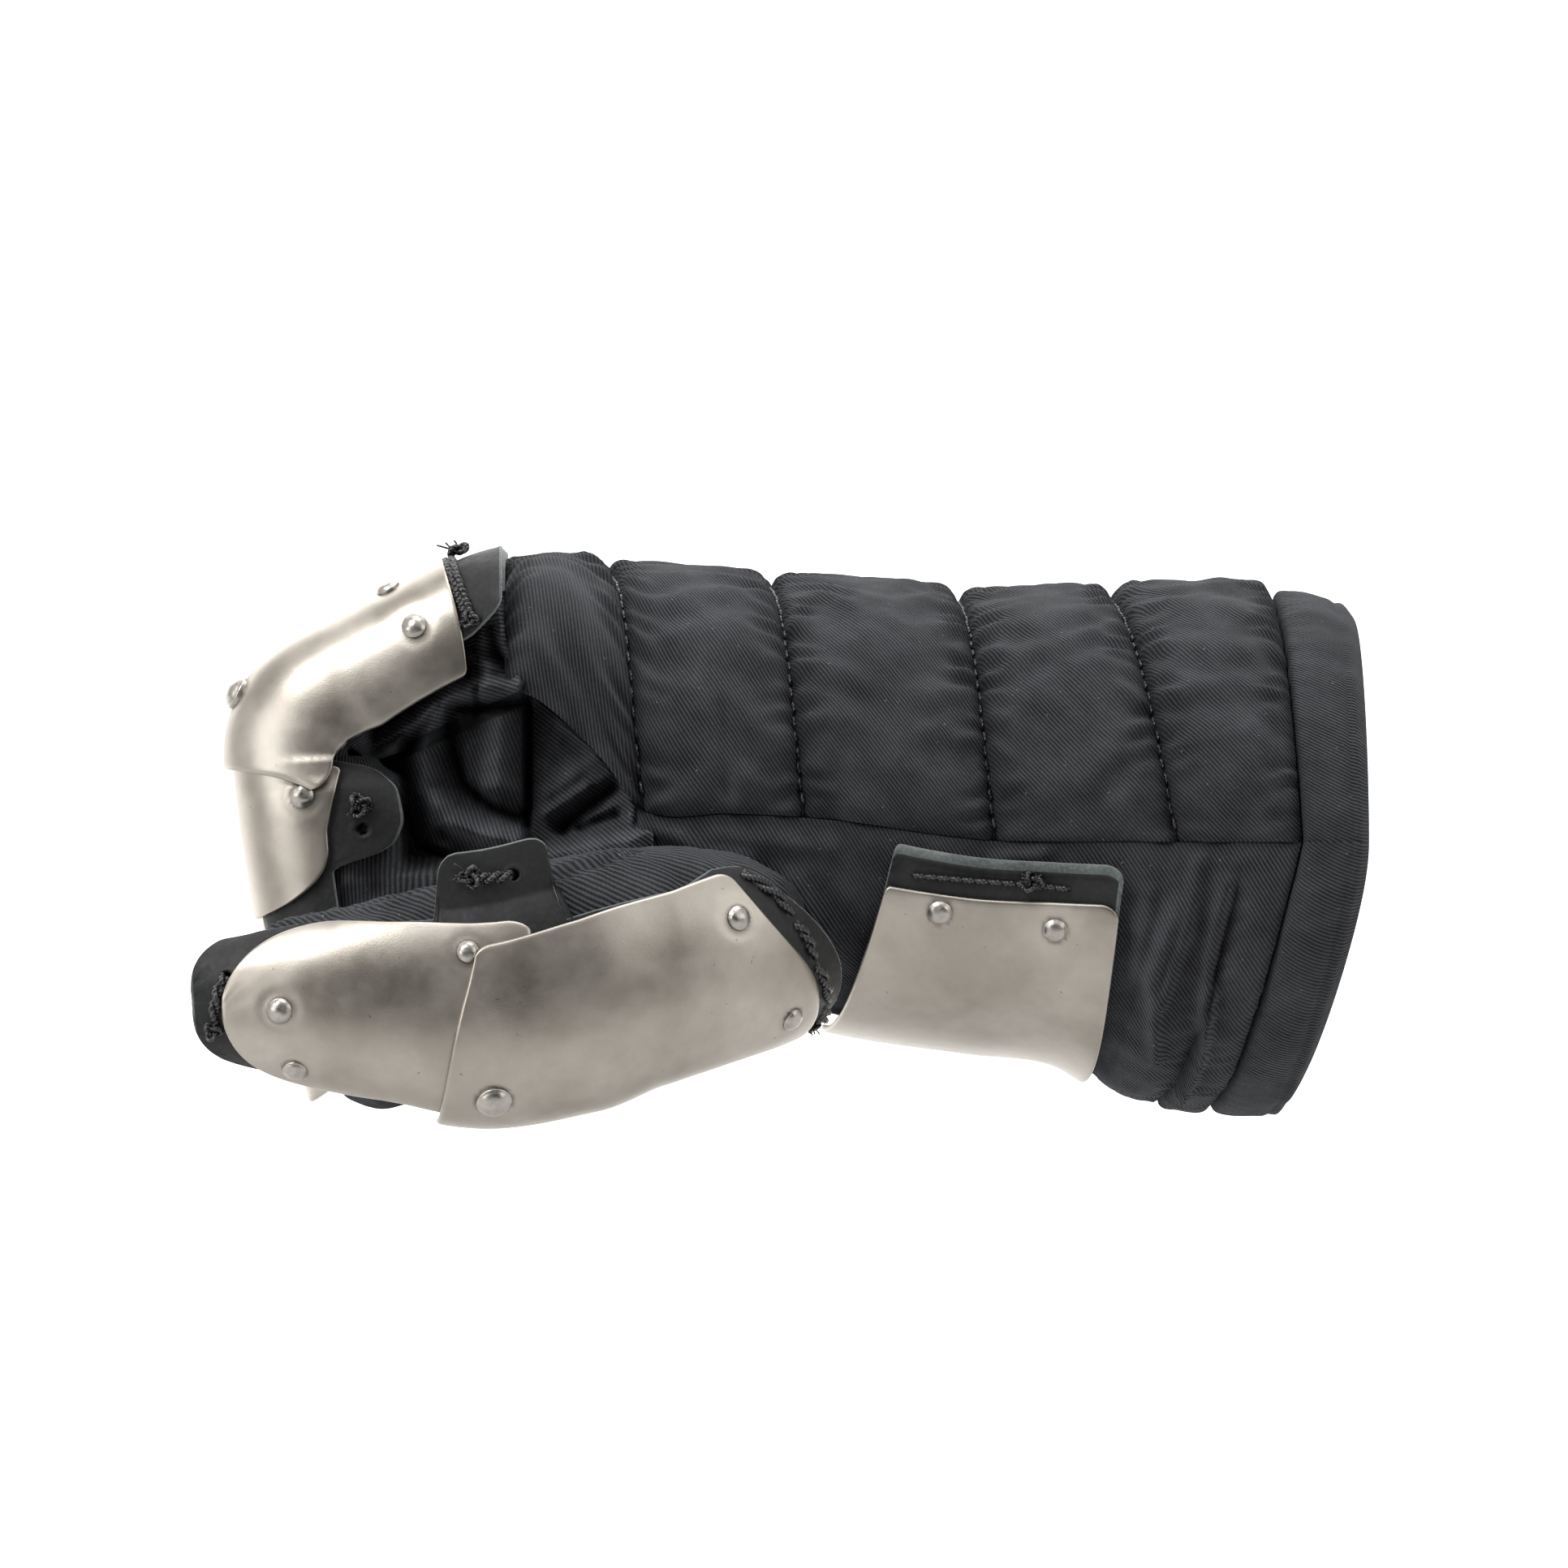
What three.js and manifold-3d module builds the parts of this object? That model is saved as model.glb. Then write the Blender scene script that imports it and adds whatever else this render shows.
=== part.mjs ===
// Armoured gauntlet for the right hand, closed into a fist: a padded cloth glove with curved steel plates
// riveted to leather strips along the fingers and the thumb.
// Millimetres. +Z is the back of the hand, -X points to the fingertips, -Y is the thumb's side.
// The origin is the centre of the cuff's mouth, where the wrist goes in.
import * as THREE from "three";
import { mergeVertices } from "three/addons/utils/BufferGeometryUtils.js";
import Module from "manifold-3d";

const wasm = await Module();
wasm.setup();

// ---------------------------------------------------------------- driving dimensions

const GAP = 0.3; // clearance between neighbouring pieces
const SMOOTHED = 0.15; // facets that differ by less than this are merged
const CLOTH = 1.6; // wall of the finger and thumb stalls
const PALM_CLOTH = 2.2; // wall of the palm panel
const BACK_PADDING = 4.5; // quilted back, from its stitched channels to its inner face
const QUILT_RISE = 3.4; // how far each quilted tube stands above its stitched channels
const LEATHER = 2.2;
const STEEL = 1.1;
const RIVET = { radius: 2.1, rise: 1.1, shank: 0.9 };
const JOINT_RIVET = { radius: 3.1, rise: 1.9, shank: 1.3 }; // the bolder rivet at each middle joint
const RIVET_SIDES = 6;
const SHANK_SIDES = 4;
const RIVET_SEAT = 0.7; // how far a head is let into its plate

// Layers above a stall's surface, from the cloth outwards.
const LEATHER_IN = GAP;
const PLATE_IN = LEATHER_IN + LEATHER + 1.2 * GAP;
const LAP = STEEL + GAP; // lift of the end of a plate that laps over the next one

// The hand's tube, as sections along X: heights of its top, side seam and bottom, half its width, and how square it is.
const HAND = [
  { x: -152, top: 49.2, seam: 31, bottom: 10, half: 55, square: 4.0 },
  { x: -146, top: 49.4, seam: 30, bottom: 4, half: 57, square: 4.0 },
  { x: -140, top: 49.6, seam: 27.5, bottom: -6, half: 56.5, square: 4.0 },
  { x: -130, top: 49.3, seam: 18, bottom: -11, half: 54.5, square: 3.5 },
  { x: -122, top: 48.6, seam: 8.5, bottom: -15, half: 52.5, square: 3.1 },
  { x: -107, top: 47.3, seam: 8, bottom: -22, half: 49.5, square: 2.8 },
  { x: -90, top: 46.4, seam: 7, bottom: -28, half: 47, square: 2.6 },
  { x: -65, top: 44.4, seam: 3.5, bottom: -32, half: 45, square: 2.5 },
  { x: -50, top: 44.4, seam: 3, bottom: -34, half: 45, square: 2.4 },
  { x: -38, top: 44.9, seam: 3, bottom: -41.5, half: 46.5, square: 2.3 },
  { x: -24, top: 45.4, seam: 3, bottom: -44, half: 48, square: 2.2 },
  { x: -10, top: 45.2, seam: 3, bottom: -45.5, half: 48.5, square: 2.1 },
  { x: 6, top: 42.5, seam: 3, bottom: -43.5, half: 47, square: 2.1 },
];

// Stitched channels across the back, and the cuff's edges: X over the top, at the side seams and underneath.
const CHANNELS = [
  { top: -147, side: -145.5, under: -145.5 },
  { top: -129.7, side: -122.5, under: -122.5 },
  { top: -100.3, side: -94.3, under: -94.3 },
  { top: -66.7, side: -60.6, under: -60.6 },
  { top: -39.7, side: -28.6, under: -28.6 },
  { top: -10.7, side: -6.5, under: -22 },
];
const RIM = { top: 4.2, side: 5.3, under: -8.5 };
const PALM_FRONT = -150.5;
const AROUND_HALF = 12; // facets across the back, and as many across the palm
const SEAM_GAP = 0.03; // radians left open along the side seams
const PALM_SEAM = { top: -16, side: -16, under: -31 }; // gathered seam across the palm, short of the cuff's binding
const PALM_PUFF = 2.2; // how far the palm's cloth puffs up between that seam and the binding
const BINDING = { rise: 2, inside: 5 }; // the binding's bulge, and its reach inside the mouth
const CHANNEL_CURVE = 0.75; // how soon a channel turns down from the top

// Fingers: place across the hand, drop of the knuckle, and lengths of the knuckle bend and of the two straight runs.
const FINGERS = [
  { name: "index", y: -45, drop: 0, near: 28.5, far: 59, plate: 26 },
  { name: "middle", y: -15, drop: 0.6, near: 28.5, far: 60, plate: 58 },
  { name: "ring", y: 15, drop: 1.2, near: 27.5, far: 55, plate: 50 },
  { name: "little", y: 45, drop: 3.5, near: 24, far: 44, plate: 38 },
];
const FINGER_START = { x: -147.4, z: 36.9, heading: 3 };
const KNUCKLE_LENGTH = 3.2;
const JOINT_LENGTH = 4.5; // centre line through the middle joint's bend
const BEND = { knuckle: 20, near: 15, joint: 56, far: 12 }; // degrees turned along each run

// A finger stall's section by landmark: 0 mouth, 1 knuckle, 2 and 3 ends of the middle joint, 4 tip.
const FINGER_SECTION = [
  { at: 0, half: 13.4, back: 14.6, front: 28.5 },
  { at: 1, half: 10.8, back: 14.2, front: 28 },
  { at: 1.25, half: 10.8, back: 14, front: 24 },
  { at: 1.5, half: 10.6, back: 14, front: 19.5 },
  { at: 1.74, half: 10, back: 14, front: 12.5 },
  { at: 1.9, half: 9, back: 14, front: 7.2 },
  { at: 2.15, half: 8.8, back: 14, front: 3.9 },
  { at: 2.9, half: 8.8, back: 14, front: 3.9 },
  { at: 3.04, half: 9.6, back: 14, front: 9 },
  { at: 3.1, half: 10.6, back: 13.9, front: 15 },
  { at: 3.2, half: 10.8, back: 13.8, front: 21 },
  { at: 3.4, half: 10.8, back: 13.4, front: 22 },
  { at: 3.7, half: 10.6, back: 12.6, front: 18 },
  { at: 4, half: 9.4, back: 11.6, front: 13 },
];

// The thumb's centre line and section along its length s: half its height, and its depth to each side.
const THUMB = [
  { s: 0, x: -101, y: -26, z: -12, half: 15, back: 14.5, front: 14.5 },
  { s: 14, x: -101.5, y: -41, z: -13, half: 15.5, back: 14.2, front: 14.5 },
  { s: 30, x: -108, y: -55, z: -14.5, half: 16.5, back: 13.8, front: 14 },
  { s: 47, x: -122, y: -64, z: -16.5, half: 19, back: 13.5, front: 13 },
  { s: 62, x: -136.5, y: -69, z: -19.3, half: 19.8, back: 13.2, front: 11.8 },
  { s: 76, x: -150, y: -72, z: -22.5, half: 18.8, back: 13, front: 11.6 },
  { s: 90, x: -164, y: -73, z: -23, half: 16.2, back: 12.6, front: 11.6 },
  { s: 106, x: -180, y: -72.2, z: -23.3, half: 12.8, back: 11.8, front: 11.2 },
  { s: 122, x: -196, y: -70, z: -24, half: 9.6, back: 10, front: 10 },
  { s: 138, x: -212, y: -67.6, z: -25, half: 9.6, back: 10, front: 10 },
];
const THUMB_LENGTH = 123.5;
const STALL_SQUARE = 2.4; // squareness of every stall's section

// ---------------------------------------------------------------- numbers

const radians = THREE.MathUtils.degToRad;
const lerp = THREE.MathUtils.lerp;

// A column of a table at x, on a smooth curve through its rows.
function columnAt(rows, by, column, x) {
  const last = rows.length - 1;
  let i = 0;
  while (i < last - 1 && x > rows[i + 1][by]) i += 1;
  const slopeAt = (k) => {
    const a = rows[Math.max(k - 1, 0)];
    const b = rows[Math.min(k + 1, last)];
    return (b[column] - a[column]) / (b[by] - a[by]);
  };
  const span = rows[i + 1][by] - rows[i][by];
  const t = THREE.MathUtils.clamp((x - rows[i][by]) / span, 0, 1);
  const [t2, t3] = [t * t, t * t * t];
  return (
    rows[i][column] * (2 * t3 - 3 * t2 + 1) +
    rows[i + 1][column] * (3 * t2 - 2 * t3) +
    slopeAt(i) * span * (t3 - 2 * t2 + t) +
    slopeAt(i + 1) * span * (t3 - t2)
  );
}

// n + 1 values from 0 to 1, closer together near both ends.
function closeAtEnds(n) {
  return Array.from({ length: n + 1 }, (_, i) => (1 - Math.cos((Math.PI * i) / n)) / 2);
}

function evenly(n, from = 0, to = 1) {
  return Array.from({ length: n + 1 }, (_, i) => lerp(from, to, i / n));
}

function roundAngles(sides) {
  return evenly(sides - 1, 0, (2 * Math.PI * (sides - 1)) / sides);
}

// A point of a rounded section, moved out along its normal: angle 0 is the back, 90 degrees is the side.
function sectionPoint(half, back, front, square, angle, out) {
  const [s, c] = [Math.sin(angle), Math.cos(angle)];
  const depth = c > 0 ? back : front;
  const r = (Math.abs(s / half) ** square + Math.abs(c / depth) ** square) ** (-1 / square);
  const side = Math.sign(s) * (Math.abs(s * r) ** (square - 1) / half ** square);
  const up = Math.sign(c) * (Math.abs(c * r) ** (square - 1) / depth ** square);
  const length = Math.hypot(side, up);
  return { side: r * s + (out * side) / length, up: r * c + (out * up) / length };
}

// ---------------------------------------------------------------- solids

// A closed solid from points and triangles, turned to face outwards.
function solidOf(points, triangles) {
  const make = (faces) => {
    const geometry = new THREE.BufferGeometry().setFromPoints(points);
    geometry.setIndex(faces.flat());
    const merged = mergeVertices(geometry, 1e-4);
    const triVerts = [];
    const index = merged.index.array;
    for (let i = 0; i < index.length; i += 3) {
      const [a, b, c] = [index[i], index[i + 1], index[i + 2]];
      if (a !== b && b !== c && c !== a) triVerts.push(a, b, c);
    }
    return new wasm.Manifold(
      new wasm.Mesh({
        numProp: 3,
        vertProperties: merged.attributes.position.array,
        triVerts: new Uint32Array(triVerts),
      }),
    );
  };
  const solid = make(triangles);
  return solid.volume() > 0 ? solid : make(triangles.map(([a, b, c]) => [a, c, b]));
}

// A sheet with thickness: two grids of points of one size, joined round their border.
function sheetSolid(outer, inner) {
  const [rows, columns] = [outer.length, outer[0].length];
  const points = [...outer.flat(), ...inner.flat()];
  const under = rows * columns;
  const faces = [];
  const quad = (a, b, c, d) => faces.push([a, b, c], [a, c, d]);
  for (let i = 0; i + 1 < rows; i += 1) {
    for (let j = 0; j + 1 < columns; j += 1) {
      const a = i * columns + j;
      quad(a, a + 1, a + columns + 1, a + columns);
      quad(under + a, under + a + columns, under + a + columns + 1, under + a + 1);
    }
  }
  const last = (rows - 1) * columns;
  for (let j = 0; j + 1 < columns; j += 1) {
    quad(j + 1, j, under + j, under + j + 1);
    quad(last + j, last + j + 1, under + last + j + 1, under + last + j);
  }
  for (let i = 0; i + 1 < rows; i += 1) {
    const a = i * columns;
    const b = a + columns - 1;
    quad(a, a + columns, under + a + columns, under + a);
    quad(b + columns, b, under + b, under + b + columns);
  }
  return solidOf(points, faces);
}

// A full round body through closed rings of points: flat at its first ring, and closed to the tip point, if any.
function ringSolid(rings, tip) {
  const around = rings[0].length;
  const points = rings.flat();
  const faces = [];
  for (let i = 0; i + 1 < rings.length; i += 1) {
    for (let j = 0; j < around; j += 1) {
      const [a, b] = [i * around + j, i * around + ((j + 1) % around)];
      faces.push([a, b, b + around], [a, b + around, a + around]);
    }
  }
  const lid = (hub, first, turned) => {
    const centre = points.push(hub) - 1;
    for (let j = 0; j < around; j += 1) {
      const [a, b] = [first + j, first + ((j + 1) % around)];
      faces.push(turned ? [centre, b, a] : [centre, a, b]);
    }
  };
  const middle = (ring) => ring.reduce((sum, p) => sum.add(p), new THREE.Vector3()).divideScalar(around);
  lid(middle(rings[0]), 0, true);
  lid(tip ?? middle(rings.at(-1)), (rings.length - 1) * around, false);
  return solidOf(points, faces);
}

// A band closed along both of its directions, such as a hem round a mouth.
function bandSolid(profiles) {
  const [rows, columns] = [profiles.length, profiles[0].length];
  const faces = [];
  for (let i = 0; i < rows; i += 1) {
    for (let j = 0; j < columns; j += 1) {
      const [i2, j2] = [(i + 1) % rows, (j + 1) % columns];
      const [a, b, c, d] = [i * columns + j, i * columns + j2, i2 * columns + j2, i2 * columns + j];
      faces.push([a, b, c], [a, c, d]);
    }
  }
  return solidOf(profiles.flat(), faces);
}

// The largest of the separate bodies that a cut leaves.
function largestOf(solid) {
  return solid.decompose().sort((a, b) => b.volume() - a.volume())[0];
}

function geometryOf(solid) {
  const mesh = solid.getMesh();
  const geometry = new THREE.BufferGeometry();
  geometry.setAttribute("position", new THREE.BufferAttribute(mesh.vertProperties, 3));
  geometry.setIndex(new THREE.BufferAttribute(mesh.triVerts, 1));
  const faceted = geometry.toNonIndexed();
  faceted.computeVertexNormals();
  return faceted;
}

// A solid of revolution from a profile of [radius, height] pairs, stood on a surface along its normal.
function turnedSolid(profile, sides, place) {
  const lathe = new THREE.LatheGeometry(
    profile.map(([r, h]) => new THREE.Vector2(r, h)),
    sides,
  );
  const turn = new THREE.Quaternion().setFromUnitVectors(new THREE.Vector3(0, 1, 0), place.normal);
  lathe.applyMatrix4(new THREE.Matrix4().compose(place.point, turn, new THREE.Vector3(1, 1, 1)));
  const at = lathe.attributes.position;
  const points = Array.from({ length: at.count }, (_, i) => new THREE.Vector3().fromBufferAttribute(at, i));
  const index = lathe.index.array;
  const faces = [];
  for (let i = 0; i < index.length; i += 3) faces.push([index[i], index[i + 1], index[i + 2]]);
  return solidOf(points, faces);
}

// ---------------------------------------------------------------- the hand's surface

// X of a line across the hand that is given over the top, at the side seams and underneath.
function acrossAt(line, around) {
  const s = Math.sin(around);
  const to = s >= 0 ? line.top : line.under;
  return to + (line.side - to) * (1 - Math.abs(s)) ** CHANNEL_CURVE;
}

// A point of the hand: around is 0 at the thumb-side seam, 90 degrees on top, 180 at the far seam, -90 underneath.
function handPoint(x, around, out) {
  const column = (name) => columnAt(HAND, "x", name, x);
  const seam = column("seam");
  const section = sectionPoint(
    column("half"),
    column("top") - seam,
    seam - column("bottom"),
    column("square"),
    Math.PI / 2 - around,
    out,
  );
  return new THREE.Vector3(x, -section.side, seam + section.up);
}

function handPlace(x, around, out) {
  const point = handPoint(x, around, out);
  const normal = handPoint(x, around, out + 1).sub(point).normalize();
  return { point, normal };
}

// Height of the quilting at a share of the way from one channel to the next.
function quiltRise(share, around) {
  const pillow = Math.sqrt(1 - (2 * share - 1) ** 2) ** 0.8;
  const nearSeam = Math.min(1, Math.sin(around) / 0.22) ** 0.6;
  return QUILT_RISE * pillow * nearSeam;
}

function quiltedBack() {
  const shares = [0, 0.12, 0.5, 0.88];
  const arounds = evenly(AROUND_HALF, 0, Math.PI);
  const rowAt = (k, share, raised) =>
    arounds.map((around) => {
      const [a, b] = [acrossAt(CHANNELS[k], around), acrossAt(CHANNELS[k + 1], around)];
      const x = lerp(a, b, share) - (share === 1 ? GAP : 0);
      return handPoint(x, around, raised ? quiltRise(share, Math.max(around, 0)) : -BACK_PADDING);
    });
  const rows = (raised) => {
    const made = [];
    for (let k = 0; k + 1 < CHANNELS.length; k += 1) {
      for (const share of shares) made.push(rowAt(k, share, raised));
    }
    made.push(rowAt(CHANNELS.length - 2, 1, raised));
    return made;
  };
  return sheetSolid(rows(true), rows(false));
}

// The palm's cloth between two heights over its surface: raised adds to the puffed outside.
function palmSheet(raised, inside) {
  const front = { top: PALM_FRONT, side: PALM_FRONT, under: PALM_FRONT };
  const stations = [0, 0.037, 0.075, 0.123, 0.187, 0.235, 0.313, 0.42, 0.5, 0.6, 0.72, 0.82, 0.89, 0.95, 1, 1.2, 1.8, 2];
  const arounds = evenly(AROUND_HALF, -Math.PI, 0);
  const grid = (outside) =>
    stations.map((share) =>
      arounds.map((around) => {
        const edged = THREE.MathUtils.clamp(around, -Math.PI + SEAM_GAP, -SEAM_GAP);
        const [x0, x1, x2] = [front, PALM_SEAM, CHANNELS.at(-1)].map((line) => acrossAt(line, edged));
        const x = share <= 1 ? lerp(x0, x1, share) : lerp(x1, x2 - GAP, share - 1);
        const puffed = share <= 1 ? Math.max(0, (share - 0.9) / 0.1) : share - 1;
        const pillow = Math.sqrt(1 - (2 * puffed - 1) ** 2) * Math.min(1, -Math.sin(edged) / 0.3);
        return handPoint(x, edged, outside ? raised + PALM_PUFF * pillow * (share <= 1 ? 0.6 : 1) : inside);
      }),
    );
  return sheetSolid(grid(true), grid(false));
}

function cuffBinding() {
  const seam = CHANNELS.at(-1);
  const profile = [
    [0, -0.3],
    [0.12, 0.75],
    [0.4, 1],
    [0.7, 0.8],
    [0.92, 0.1],
    [1, -1],
    [0.85, -2.3],
    [0.4, -2.5],
    [0, -2.4],
  ];
  const rings = roundAngles(2 * AROUND_HALF).map((around) =>
    profile.map(([share, height]) => {
      const x = lerp(acrossAt(seam, around) + GAP / 2, acrossAt(RIM, around), share);
      return handPoint(x, around, height > 0 ? height * BINDING.rise : (height * BINDING.inside) / 2.5);
    }),
  );
  return bandSolid(rings);
}

function handVolume(out) {
  const rings = evenly(20, PALM_FRONT, 4).map((x) =>
    roundAngles(2 * AROUND_HALF).map((around) => handPoint(x, around, out)),
  );
  return ringSolid(rings);
}

// ---------------------------------------------------------------- fingers and thumb

// Each digit gives its centre line by length s, its section there, and its whole length.
function fingerOf(row) {
  const runs = [
    { length: KNUCKLE_LENGTH, turn: BEND.knuckle },
    { length: row.near, turn: BEND.near },
    { length: JOINT_LENGTH, turn: BEND.joint },
    { length: row.far, turn: BEND.far },
  ];
  const marks = [0];
  for (const run of runs) marks.push(marks.at(-1) + run.length);

  const centre = (s) => {
    const at = { x: FINGER_START.x, z: FINGER_START.z - row.drop, heading: radians(FINGER_START.heading) };
    let left = s;
    runs.forEach((run, i) => {
      const step = i === runs.length - 1 ? left : Math.min(left, run.length);
      const bend = radians(run.turn) / run.length;
      const turned = bend * step;
      const chord = step * (Math.abs(turned) > 1e-6 ? Math.sin(turned / 2) / (turned / 2) : 1);
      at.x -= chord * Math.cos(at.heading + turned / 2);
      at.z -= chord * Math.sin(at.heading + turned / 2);
      at.heading += turned;
      left -= step;
    });
    return new THREE.Vector3(at.x, row.y, at.z);
  };
  const landmark = (s) => {
    let i = 0;
    while (i < 3 && s > marks[i + 1]) i += 1;
    return i + (s - marks[i]) / runs[i].length;
  };
  const section = (s, name) => columnAt(FINGER_SECTION, "at", name, landmark(s));
  const side = new THREE.Vector3(0, -1, 0);
  const [, knuckle, jointIn, jointOut, length] = marks;
  const stations = [
    knuckle,
    ...[0.4, 0.75, 0.93].map((share) => lerp(knuckle, jointIn, share)),
    ...[0.15, 0.5, 0.85].map((share) => lerp(jointIn, jointOut, share)),
    ...[2.2, 5.5, 12, 26, 40].map((past) => jointOut + past),
  ];
  const inside = [knuckle, lerp(knuckle, jointIn, 0.75), lerp(jointIn, jointOut, 0.5), jointOut + 5.5, jointOut + 20];
  return { name: row.name, plate: row.plate, centre, section, marks, length, side, stations, inside, sides: 10 };
}

function thumbOf() {
  const column = (s, name) => columnAt(THUMB, "s", name, s);
  const centre = (s) => new THREE.Vector3(column(s, "x"), column(s, "y"), column(s, "z"));
  const stations = [7, 14, 20, 26, 33, 42, 54, 67, 80, 96];
  const inside = [14, 30, 47, 67, 90];
  const side = new THREE.Vector3(0, 0, -1);
  return { name: "thumb", centre, section: column, length: THUMB_LENGTH, side, stations, inside, sides: 12 };
}

// A point of a digit: angle 0 on its back, positive towards its side direction, out above its cloth.
function digitPoint(digit, s, angle, out, shrink = 1) {
  const step = 0.05;
  const along = digit.centre(s + step).sub(digit.centre(s - step)).normalize();
  const back = new THREE.Vector3().crossVectors(along, digit.side).normalize();
  const side = new THREE.Vector3().crossVectors(back, along);
  const [half, up, down] = ["half", "back", "front"].map((name) => digit.section(s, name) * shrink);
  const section = sectionPoint(half, up, down, STALL_SQUARE, angle, out);
  return digit.centre(s).addScaledVector(side, section.side).addScaledVector(back, section.up);
}

function digitPlace(digit, s, angle, out) {
  const point = digitPoint(digit, s, angle, out);
  const normal = digitPoint(digit, s, angle, out + 1).sub(point).normalize();
  return { point, normal };
}

const HOLLOW_SIDES = 8;
const TIP_ROUND = 11; // length of a stall's rounded tip

// The volume inside a surface out above a stall's cloth, from s = start to the rounded tip. out may change along s.
function digitVolume(digit, start, out, stations = digit.stations, sides = digit.sides) {
  const outAt = typeof out === "function" ? out : () => out;
  const roundFrom = digit.length - TIP_ROUND;
  const rings = [[start, 1], ...stations.filter((s) => s > start && s < roundFrom - 1).map((s) => [s, 1])];
  for (const share of [0, 0.45, 0.75, 0.93]) {
    rings.push([roundFrom + share * (TIP_ROUND + outAt(roundFrom)), Math.sqrt(1 - share * share)]);
  }
  const angles = roundAngles(sides);
  return ringSolid(
    rings.map(([s, shrink]) => angles.map((angle) => digitPoint(digit, s, angle, outAt(s), shrink))),
    digit.centre(digit.length + outAt(roundFrom)),
  );
}

function digitHollow(digit) {
  return digitVolume(digit, -2, -CLOTH, digit.inside, HOLLOW_SIDES);
}

// ---------------------------------------------------------------- armour

// The outline of a patch on a surface. Its ends give the place s at its first side, middle and last side. Its rows
// give, by the share u of its length, the angles of its two sides. round: the share of the length over which each
// end's corners round off, and how far (1 is an oval tip).
function patchGrid(patch, placeAt) {
  const width = (u) => {
    const shares = [u / patch.round[0].over, (1 - u) / patch.round[1].over];
    return shares.reduce((keep, share, end) => {
      const short = Math.max(0, 1 - share);
      return keep * (1 - patch.round[end].depth * (1 - Math.sqrt(1 - short * short)));
    }, 1);
  };
  const between = (u, name) => {
    const i = Math.max(1, patch.rows.findIndex((row) => row.u >= u));
    const [a, b] = [patch.rows[i - 1], patch.rows[i]];
    return lerp(a[name], b[name], (u - a.u) / (b.u - a.u));
  };
  const skew = ([first, middle, last], v) => ((last - first) / 2) * v + ((first + last) / 2 - middle) * v * v;
  const shares = [...closeAtEnds(patch.cells[0]), ...patch.rows.map((row) => row.u)];
  const distinct = [...new Set(shares)].sort((a, b) => a - b);
  return distinct.map((u) => {
    const [from, to] = [between(u, "from"), between(u, "to")];
    return evenly(patch.cells[1], -1, 1).map((share) => {
      const v = width(u) > 0 ? share : 0; // an oval tip ends in one point
      const angle = (from + to) / 2 + (v * width(u) * (to - from)) / 2;
      const s = lerp(patch.start[1], patch.end[1], u) + skew(patch.start, v) * (1 - u) ** 3 + skew(patch.end, v) * u ** 3;
      return placeAt(s, radians(angle));
    });
  });
}

// A rivet's domed head stands on a plate, and its shank goes down through the plate and the leather.
function rivetSolid(size, depth, place) {
  const { radius, rise, shank } = size;
  const head = [
    [0, rise],
    [radius * 0.62, rise * 0.72],
    [radius, 0],
    [radius, -RIVET_SEAT],
    [0, -RIVET_SEAT],
  ];
  const pin = [
    [0, rise / 2],
    [shank, rise / 2],
    [shank, -depth],
    [0, -depth],
  ];
  return [turnedSolid(head, RIVET_SIDES, place), turnedSolid(pin, SHANK_SIDES, place)];
}

function holeSolid(size, depth, place) {
  const r = size.shank + 2 * GAP;
  const profile = [
    [0, 3],
    [r, 3],
    [r, -depth],
    [0, -depth],
  ];
  return turnedSolid(profile, SHANK_SIDES, place);
}

// ---------------------------------------------------------------- the assembly

const COLOURS = {
  cloth: { color: 0x22242a, roughness: 0.95, metalness: 0 },
  leather: { color: 0x24282a, roughness: 0.7, metalness: 0 },
  steel: { color: 0xb9b0a4, roughness: 0.35, metalness: 1 },
};

const gauntlet = new THREE.Group();

function addPiece(name, finish, solid) {
  const mesh = new THREE.Mesh(geometryOf(solid.simplify(SMOOTHED)), new THREE.MeshStandardMaterial(COLOURS[finish]));
  mesh.name = name;
  gauntlet.add(mesh);
}

// A form that armour is laid on: layer(from, to) is the shell between two heights over its cloth, cutter(patch)
// the patch's outline cut square through every layer, and place(s, angle, out) a point with its normal.
function digitForm(digit) {
  return {
    layer: (from, to) => digitVolume(digit, 0, to).subtract(digitVolume(digit, -0.01, from)),
    cutter: (patch) =>
      sheetSolid(
        patchGrid(patch, (s, angle) => digitPoint(digit, s, angle, 9)),
        patchGrid(patch, (s, angle) => digitPoint(digit, s, angle, 0, 0.1)),
      ),
    place: (s, angle, out) => digitPlace(digit, s, angle, out),
  };
}

const heightOf = (out) => (typeof out === "function" ? out(0) : out);

const palmForm = {
  layer: (from, to) => palmSheet(heightOf(to), -PALM_CLOTH).subtract(palmSheet(heightOf(from), -2 * PALM_CLOTH)),
  cutter: (patch) =>
    sheetSolid(
      patchGrid(patch, (x, around) => handPoint(x, around, 12)),
      patchGrid(patch, (x, around) => handPoint(x, around, -6)),
    ),
  place: handPlace,
};

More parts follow.
